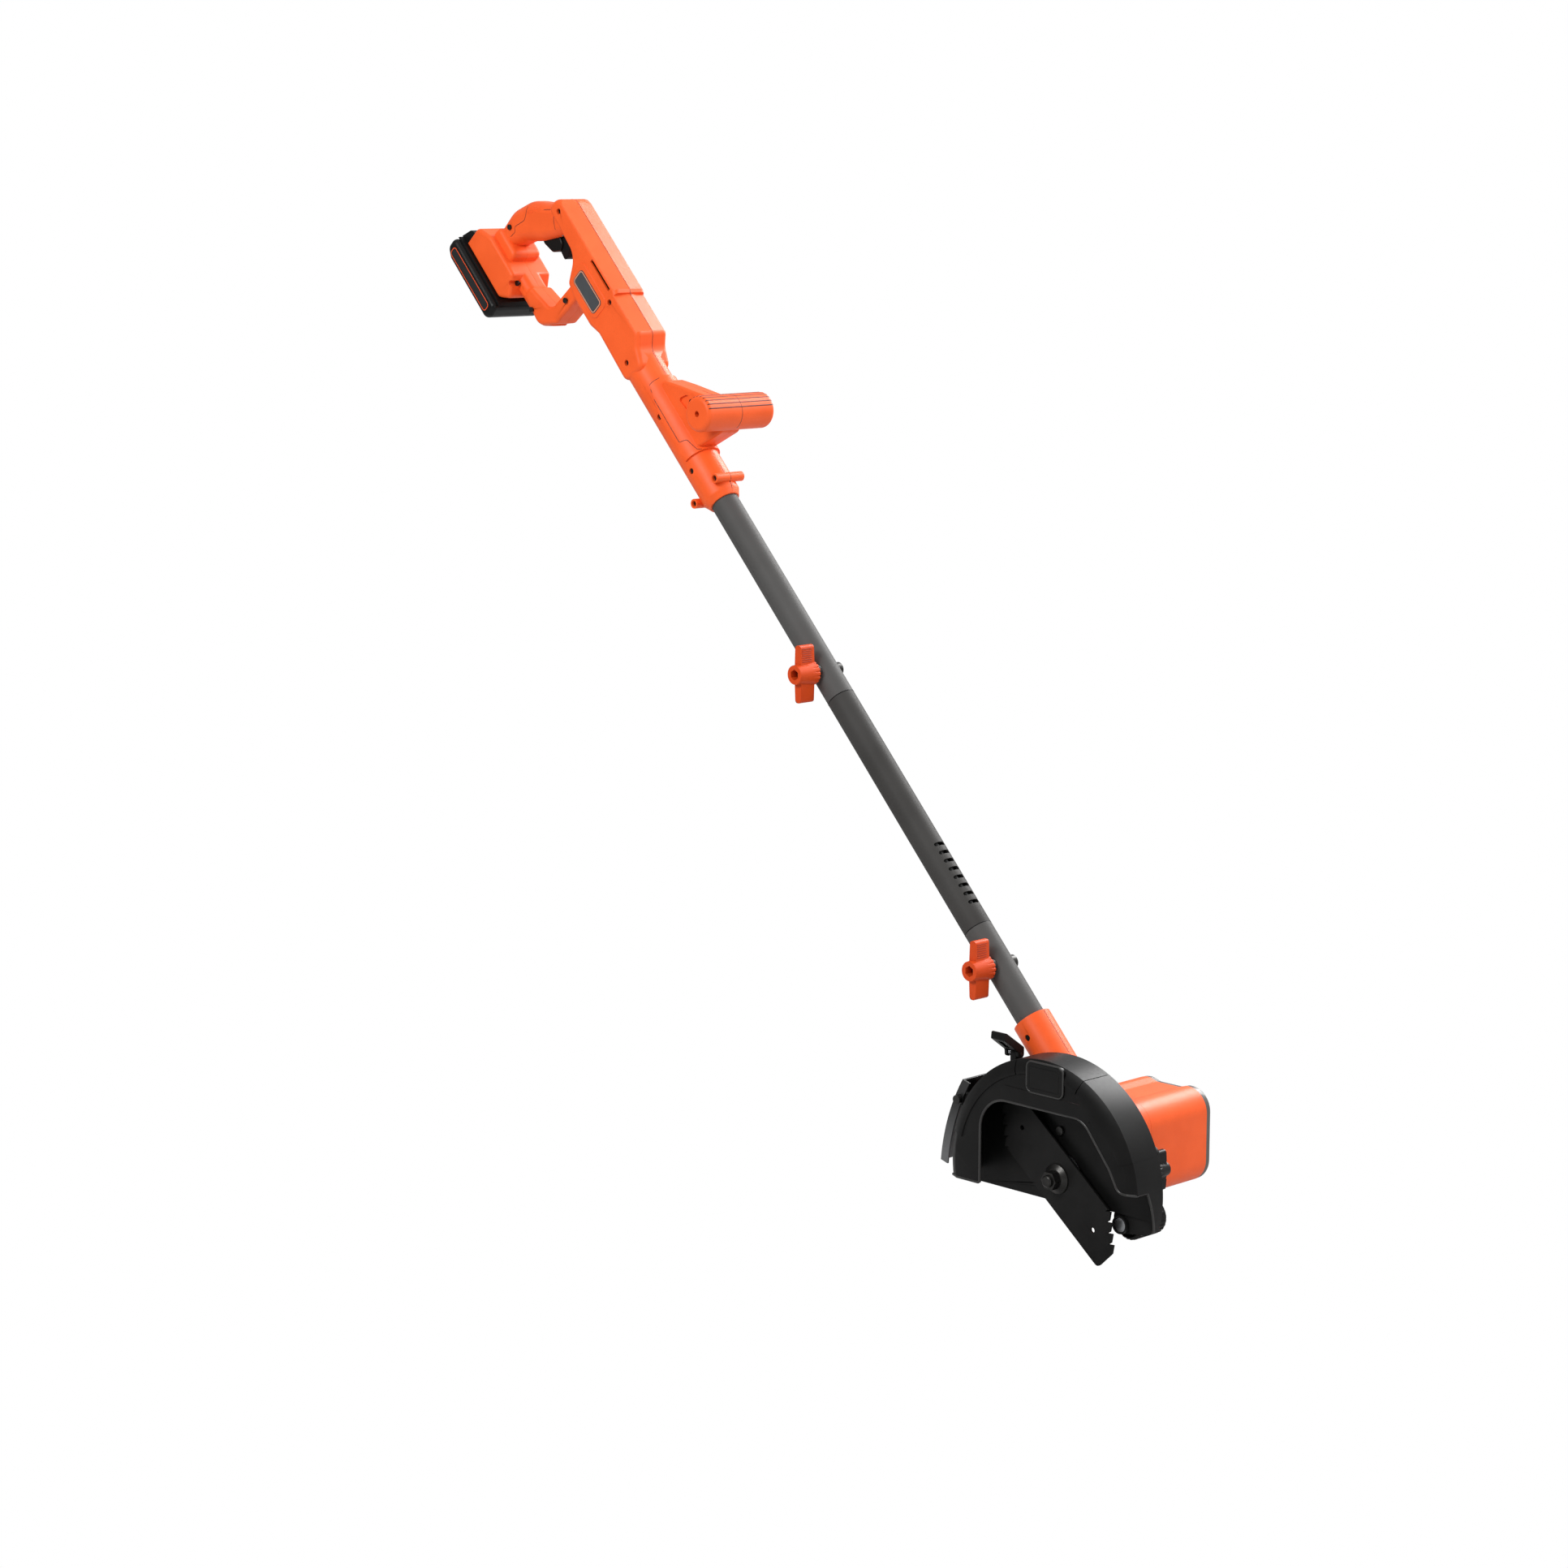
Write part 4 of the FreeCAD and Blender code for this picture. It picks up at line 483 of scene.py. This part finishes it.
# Guard trim: a rolled bead stiffens the edge of the blade's window, and a crown of three pieces is
# moulded round the guard's outside with open seams between them.
# The bead, and the badge's rim below, are a lighter and glossier black than the guard: a painted highlight along edges
# that catch the light.
bead_highlight_black = moulded("guard_bead", (0.022, 0.021, 0.020), (0.030, 0.029, 0.028), 0.30, 0.0006, 0.00002)
front_face = -0.0304
window = [(-0.1158, -0.026, -0.014), (-0.1067, front_face, -0.014), (-0.076, front_face, -0.014),
          (-0.076, front_face, 0.076), (0.058, front_face, 0.076), (0.093, front_face, 0.033),
          (0.104, front_face, 0.013), (0.1156, front_face, 0.013), (0.1228, -0.0262, 0.013),
          (0.1228, -0.0100, 0.013)]
line = eased(window, (0, 0.002, 0.003, 0.034, 0.024, 0.020, 0.010, 0.002, 0.002, 0), steps=14)
heights = np.linspace(0.0120, -0.0290, 12)
lip = np.stack([0.004 + np.sqrt(0.1195**2 - (heights - 0.003)**2),
                -0.0100 + (0.013 - heights) * math.tan(math.radians(20.0)), heights], 1)
bead("guard_bead", np.concatenate([line, lip]), bead_highlight_black, "head", 0.0014, sides=12)


crown_low = 0.0085
guard_axis = (0.004, 0.003)


def crown_piece(name, first, last):
    """Part of a turned shell round the guard's axis: its profile goes over the front face, up the slope
    and back along the rim, 0.4 mm proud, and is carried from one angle to the other. On the right its
    inner edge dips towards the window."""
    profile = np.array([(0.0, -0.0309), (0.0007, -0.0321), (0.1117, -0.0321), (0.1213, -0.0267),
                        (0.1214, -0.0255), (0.1214, crown_low), (0.1209, crown_low + 0.0004), (0.1209, -0.0258),
                        (0.1117, -0.0309)])
    degrees = np.linspace(first, last, 48)
    inner = np.interp(degrees, (20, 27, 33, 40, 45, 52, 58, 62, 66), (0.1065, 0.1045, 0.1020, 0.0975, 0.0965,
                                                                      0.0968, 0.0990, 0.1035, 0.1065))
    angle = np.radians(degrees)[:, None]
    radius = profile[:, 0][None] + inner[:, None] * (profile[:, 0] < 0.01)[None]
    depth = profile[:, 1][None]
    grid = np.stack([guard_axis[0] + radius * np.cos(angle), depth + 0 * angle,
                     guard_axis[1] + radius * np.sin(angle)], -1)
    return surface(name, grid, black, "head", join_columns=True)


crown_piece("guard_crown_right", 20.0, 64.7)
crown_piece("guard_crown_top", 65.3, 107.0)
crown_piece("guard_crown_left", 107.6, 166.0)

# Badge and sticker on the guard: a moulded pad with a raised rim, and a satin strip stuck beside the
# window. Both are left bare.
badge_shape = ((0.010, 0.0, 0.107), (1, 0, 0), (0, 0, 1), (0.023, 0.015), 0.006)
# The line pressed inside the badge's rim is inked darker than the pad: painted shade in the groove.
badge_black = moulded("badge_black", black_dark, black_light, 0.36, 0.0005, 0.00002, 0.0, 0.16, outlines=(
    (badge_shape, -0.0042, 0.0009, (0.0015, 0.0015, 0.0015), -0.0005),))
crisp("guard_badges", badge_black)
# The rim is in the bead's lighter black: painted highlight.
badge_rim = eased([(-0.0134, -0.0322, 0.0916), (0.0334, -0.0322, 0.0916), (0.0334, -0.0322, 0.1224),
                   (-0.0134, -0.0322, 0.1224)], (0.0064,) * 4, closed=True)
bead("badge_rim", badge_rim, bead_highlight_black, "head", 0.0010, 0.0009, to_blade, closed=True)
strip_brown = moulded("sticker_satin", (0.030, 0.021, 0.019), (0.036, 0.026, 0.024), 0.26, 0.0008, 0.00001)
strip = np.array([(-0.0475, 0.0785), (0.0550, 0.0785), (0.0665, 0.0770), (0.0690, 0.0830), (0.0575, 0.0905),
                  (-0.0440, 0.0905), (-0.0475, 0.0875)])
strip_line = eased(strip, (0.001,) * 7, closed=True, steps=4)
strip_edge = np.insert(strip_line, 1, -0.03118, 1)
inner_edge = strip_edge + (strip_edge.mean(0) - strip_edge) * 0.004 + np.array([0.0, -0.00006, 0.0])
strip_foot = strip_edge + np.array([0.0, 0.00030, 0.0])
surface("guard_sticker", np.stack([strip_foot, strip_edge, inner_edge]), strip_brown, "head",
        join_columns=True)

# Wing knobs: orange nylon moulded round a captive nut, turned on the clamp bolt to lock a tube joint.
# One wing has ribs for the thumb, coloured a much darker orange as painted shade.
orange_knob = moulded("orange_knob", (0.62, 0.060, 0.008), (0.67, 0.070, 0.010), 0.46, 0.0010, 0.000003, 0.0, 0.2)
# The ribs' darker orange is painted shade that makes them show, not a different dye.
knob_rib_shade = moulded("knob_rib_shade", (0.34, 0.028, 0.005), (0.40, 0.034, 0.006), 0.5, 0.0010, 0.000008, 0.0, 0.3)
for knob, along in (("lower_knob", 0.217), ("upper_knob", 0.585)):
    crisp(knob, orange_knob)
    axis = on_shaft(0.0, along, 0.0)
    across_wing = np.linspace(-0.001, 0.012, 8)
    ahead = np.full(8, axis[0] + 0.03)
    for k in range(7):
        starts = np.stack([ahead, across_wing, np.full(8, axis[2] + 0.0130 + 0.0022 * k)], 1)
        path, facing = laid([knob], starts, (-1.0, 0.0, 0.0), 0.0002)
        bead("%s_rib_%d" % (knob, k), path, knob_rib_shade, knob, 0.0006, 0.0006, facing, sides=8)

# Name plates: grey plates glued into pads on both sides of the handle. They are left bare, with a
# light line round them.
plate_shape = (on_handle(0.0045, 0.289, 0.0), out_front, up_shaft, (0.010, 0.0245), 0.005)
plate = moulded("plate_grey", (0.050, 0.055, 0.060), (0.064, 0.069, 0.075), 0.36, 0.0005, 0.00002, outlines=(
    (plate_shape, -0.0014, 0.0011, (0.70, 0.30, 0.18), 0.0001),))
crisp("nameplates", plate)

# Debris flap: a leaf moulded in grey nylon that hangs on a bolt behind the guard and stops the soil.
# Its colour is a painted reflection: dark grey at its root, lightening towards its tip.
flap_grey_painted_reflection, shader, node, link = new_material("flap_grey_painted_reflection")
place = node("TexCoord").outputs["Object"]
height = node("SeparateXYZ")
link(place, height.inputs[0])
# Painted reflection: the grey goes from light at the tip to dark at the root, by height alone.
reflection_fade = span(node, link, height.outputs["Z"], 0.0, 1.0, 0.002, 0.078)
blur = speckle(node, link, place, 0.004, 3.0)
wavy = node("Math", operation="MULTIPLY_ADD")
link(blur, wavy.inputs[0])
wavy.inputs[1].default_value = 0.06
link(reflection_fade, wavy.inputs[2])
link(ramp(node, link, wavy.outputs["Value"], (0.12, 0.122, 0.125), (0.012, 0.012, 0.012), 0.02, 0.70),
     shader.inputs["Base Color"])
link(span(node, link, speckle(node, link, place, 0.003), 0.26, 0.40), shader.inputs["Roughness"])
bump = node("Bump", Strength=0.5, Distance=0.00003)
link(speckle(node, link, place, 0.0006), bump.inputs["Height"])
link(bump.outputs["Normal"], shader.inputs["Normal"])
crisp("debris_flap", flap_grey_painted_reflection)

# Motor's end cap: dark grey nylon, clipped over the end of the housing. A stack of louvres lets the
# motor's air out, and a pressed line follows its edge. Both are inked darker than the cap as painted shade.
cap_low, cap_high = (np.array(corner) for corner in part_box("motor_end_cap"))
cap_middle = (cap_low + cap_high) / 2
cap_half = (cap_high - cap_low) / 2
# Each louvre is a shallow press inked near-black: painted shade inside the vent slot.
louvres = []
for k in range(-3, 4):
    reach = 0.024 - 0.0022 * abs(k)
    louvres.append((((cap_middle[0], cap_high[1], cap_middle[2] + 0.0062 * k), (1, 0, 0), (0, 0, 1),
                     (reach, 0.0014), 0.0013, 0.002), 0.0, None, (0.004, 0.004, 0.004), -0.0012))
cap_edge = ((cap_middle[0], cap_high[1], cap_middle[2]), (1, 0, 0), (0, 0, 1), (cap_half[0], cap_half[2]), 0.022, 0.002)
# The pressed line round the cap's edge is inked darker than the cap: painted shade in the groove.
cap_grey = moulded("end_cap_grey", (0.085, 0.078, 0.070), (0.105, 0.096, 0.087), 0.38, 0.0007, 0.00004,
                   outlines=louvres + [(cap_edge, -0.007, 0.0012, (0.02, 0.019, 0.018), -0.0006)])
crisp("motor_end_cap", cap_grey)

# Battery: a black case and lid round a row of cells, with a panel on each side that is left bare
# inside a thin orange line, and a latch button.
panel_shape = (on_handle(-0.124, 0.420, 0.037), out_front, up_shaft, (0.0065, 0.044), 0.005, 0.003)
far_panel = (on_handle(-0.124, 0.420, -0.037), out_front, up_shaft, (0.0065, 0.044), 0.005, 0.003)
case_black = moulded("battery_black", (0.0055, 0.0055, 0.0055), (0.0085, 0.0085, 0.0085), 0.34, 0.0005, 0.00003,
                     0.0, 0.2, outlines=(
    (panel_shape, -0.0012, 0.0011, (0.72, 0.085, 0.025), 0.0001),
    (far_panel, -0.0012, 0.0011, (0.72, 0.085, 0.025), 0.0001),
    # The groove pressed round each panel is inked darker than the case: painted shade in the groove.
    (panel_shape, 0.0008, 0.0006, (0.002, 0.002, 0.002), -0.0004),
    (far_panel, 0.0008, 0.0006, (0.002, 0.002, 0.002), -0.0004),
    (panel_shape, -0.0024, None, (0.020, 0.021, 0.022), 0.0),
    (far_panel, -0.0024, None, (0.020, 0.021, 0.022), 0.0)))
for name in ("pack_case", "pack_lid", "pack_button"):
    crisp(name, case_black)
sleeve = moulded("cell_sleeve", (0.03, 0.16, 0.12), (0.04, 0.20, 0.15), 0.3, 0.0004, 0.00001)
crisp("pack_cells", sleeve, 0.0)

# Hard parts: blade and brackets of painted spring steel, fasteners oiled black or zinc plated, gears
# cut from steel, carriers cast in aluminium, and the motor's copper windings.
black_steel = metal("black_painted_steel", (0.0060, 0.0058, 0.0056), (0.0085, 0.0082, 0.0080), 0.50, 0.0, gloss=0.2)
dark_steel = metal("oiled_black_steel", (0.030, 0.029, 0.028), (0.045, 0.044, 0.042), 0.32, 0.8)
zinc = metal("zinc_plate", (0.50, 0.51, 0.53), (0.66, 0.67, 0.69), 0.30)
cut_steel = metal("cut_steel", (0.42, 0.42, 0.44), (0.55, 0.55, 0.57), 0.28)
cast = metal("die_cast", (0.40, 0.41, 0.42), (0.52, 0.53, 0.54), 0.5)
copper = metal("copper_winding", (0.55, 0.22, 0.09), (0.70, 0.32, 0.14), 0.35)
for name in ("blade", "flap_bracket", "wheel_bracket", "inner_flange"):
    crisp(name, black_steel, 0.0002)
for name in ("dome_washer", "blade_nut", "guard_bolts", "handle_screws", "spindle", "head_screws", "lever_pin",
             "lower_clamp_bolt", "upper_clamp_bolt"):
    crisp(name, dark_steel, 0.0002)
for name in ("wheel_axle", "lever_spring", "trigger_pins",
             "trigger_spring", "motor_can", "spindle_bearings"):
    crisp(name, zinc, 0.0)
for name in ("output_gear", "idler_gear", "motor_pinion"):
    crisp(name, cut_steel, 0.0)
for name in ("gear_carrier", "motor_plate", "motor_magnets"):
    crisp(name, cast, 0.0)
for name in ("motor_rotor", "motor_brushes"):
    crisp(name, copper, 0.0)

# Control board and leads: a green lacquered board behind the handle's vent, and rubber leads that run
# down inside the tubes.
board = moulded("coated_board", (0.010, 0.085, 0.025), (0.020, 0.13, 0.04), 0.25, 0.0004, 0.00002)
crisp("control_board", board, 0.0)
rubber = moulded("lead_rubber", (0.012, 0.012, 0.012), (0.02, 0.02, 0.02), 0.6, 0.0004, 0.00002)
for name in ("lower_lead", "middle_lead", "upper_lead"):
    crisp(name, rubber, 0.0)

# Floor, light and camera: a pale floor and sky under four soft lamps. Rays straight from the camera meet
# both as pure white, and all other rays meet them darker, so the backdrop is whiter than the light on the
# tool, and no shadow shows on the floor.
floor_size = 12.0
floor_mesh = bpy.data.meshes.new("floor")
corners = [(-floor_size, -floor_size), (floor_size, -floor_size), (floor_size, floor_size), (-floor_size, floor_size)]
floor_mesh.from_pydata([corner + (cad_box[0][2],) for corner in corners], [], [(0, 1, 2, 3)])
floor = bpy.data.objects.new("floor", floor_mesh)
bpy.context.scene.collection.objects.link(floor)
floor_paint, shader, node, link = new_material("floor_paint")
link(ramp(node, link, speckle(node, link, node("TexCoord").outputs["Object"], 0.4), (0.40, 0.40, 0.40),
          (0.43, 0.43, 0.43)), shader.inputs["Base Color"])
shader.inputs["Roughness"].default_value = 0.95
shader.inputs["Specular IOR Level"].default_value = 0.0
lit_table = node("MixShader")
link(node("LightPath").outputs["Is Camera Ray"], lit_table.inputs["Fac"])
link(shader.outputs["BSDF"], lit_table.inputs[1])
link(node("Emission", Color=(1.0, 1.0, 1.0, 1.0), Strength=1.0).outputs["Emission"], lit_table.inputs[2])
link(lit_table.outputs["Shader"], floor_paint.node_tree.nodes["Material Output"].inputs["Surface"])
floor_mesh.materials.append(floor_paint)

world = bpy.data.worlds.new("white_studio")
world.use_nodes = True
sky = world.node_tree
direction = sky.nodes.new("ShaderNodeTexCoord")
facing = sky.nodes.new("ShaderNodeVectorMath")
facing.operation = "DOT_PRODUCT"
facing.inputs[1].default_value = (0.30, 0.62, 0.72)
sky.links.new(direction.outputs["Generated"], facing.inputs[0])
level = sky.nodes.new("ShaderNodeMapRange")
for key, value in (("From Min", -0.4), ("From Max", 0.9), ("To Min", 0.22), ("To Max", 0.80)):
    level.inputs[key].default_value = value
sky.links.new(facing.outputs["Value"], level.inputs["Value"])
seen = sky.nodes.new("ShaderNodeLightPath")
backdrop = sky.nodes.new("ShaderNodeMix")
sky.links.new(seen.outputs["Is Camera Ray"], backdrop.inputs["Factor"])
sky.links.new(level.outputs["Result"], backdrop.inputs["A"])
backdrop.inputs["B"].default_value = 1.0
sky.links.new(backdrop.outputs["Result"], sky.nodes["Background"].inputs["Strength"])
sky.nodes["Background"].inputs["Color"].default_value = (1.0, 1.0, 1.0, 1.0)
bpy.context.scene.world = world


def placed(name, data, place, target):
    """Light or camera at a place, looking at a target, with its top up."""
    made = bpy.data.objects.new(name, data)
    bpy.context.scene.collection.objects.link(made)
    ahead = np.array(target, float) - np.array(place, float)
    ahead /= np.linalg.norm(ahead)
    right = np.cross(ahead, (0.0, 0.0, 1.0))
    right /= np.linalg.norm(right)
    above = np.cross(right, ahead)
    made.matrix_world = Matrix([[right[i], above[i], -ahead[i], place[i]] for i in range(3)] + [[0.0, 0.0, 0.0, 1.0]])
    return made


def soft_light(name, place, target, size, power):
    """Round soft lamp."""
    lamp = bpy.data.lights.new(name, "AREA")
    lamp.shape = "DISK"
    lamp.size = size
    lamp.energy = power
    return placed(name, lamp, place, target)


tool_middle = (-0.35, 0.03, 0.45)
soft_light("back_light", (-0.35, 2.7, 2.1), tool_middle, 1.7, 125.0)
soft_light("rim_light", (2.0, 1.2, 2.2), tool_middle, 1.0, 30.0)
soft_light("key_light", (-0.3, -2.6, 2.2), tool_middle, 1.4, 66.0)
soft_light("fill_light", (2.9, -1.0, 0.8), tool_middle, 1.2, 7.0)

lens = bpy.data.cameras.new("camera")
lens.lens = 83.85
lens.sensor_width = 36.0
lens.clip_end = 50.0
camera_spot = np.array([2.300, -2.600, 0.992])
camera_ahead = np.array([-0.70794, 0.68533, -0.17073])
camera = placed("camera", lens, camera_spot, camera_spot + camera_ahead)
bpy.context.scene.camera = camera
bpy.context.scene.view_settings.view_transform = "Standard"
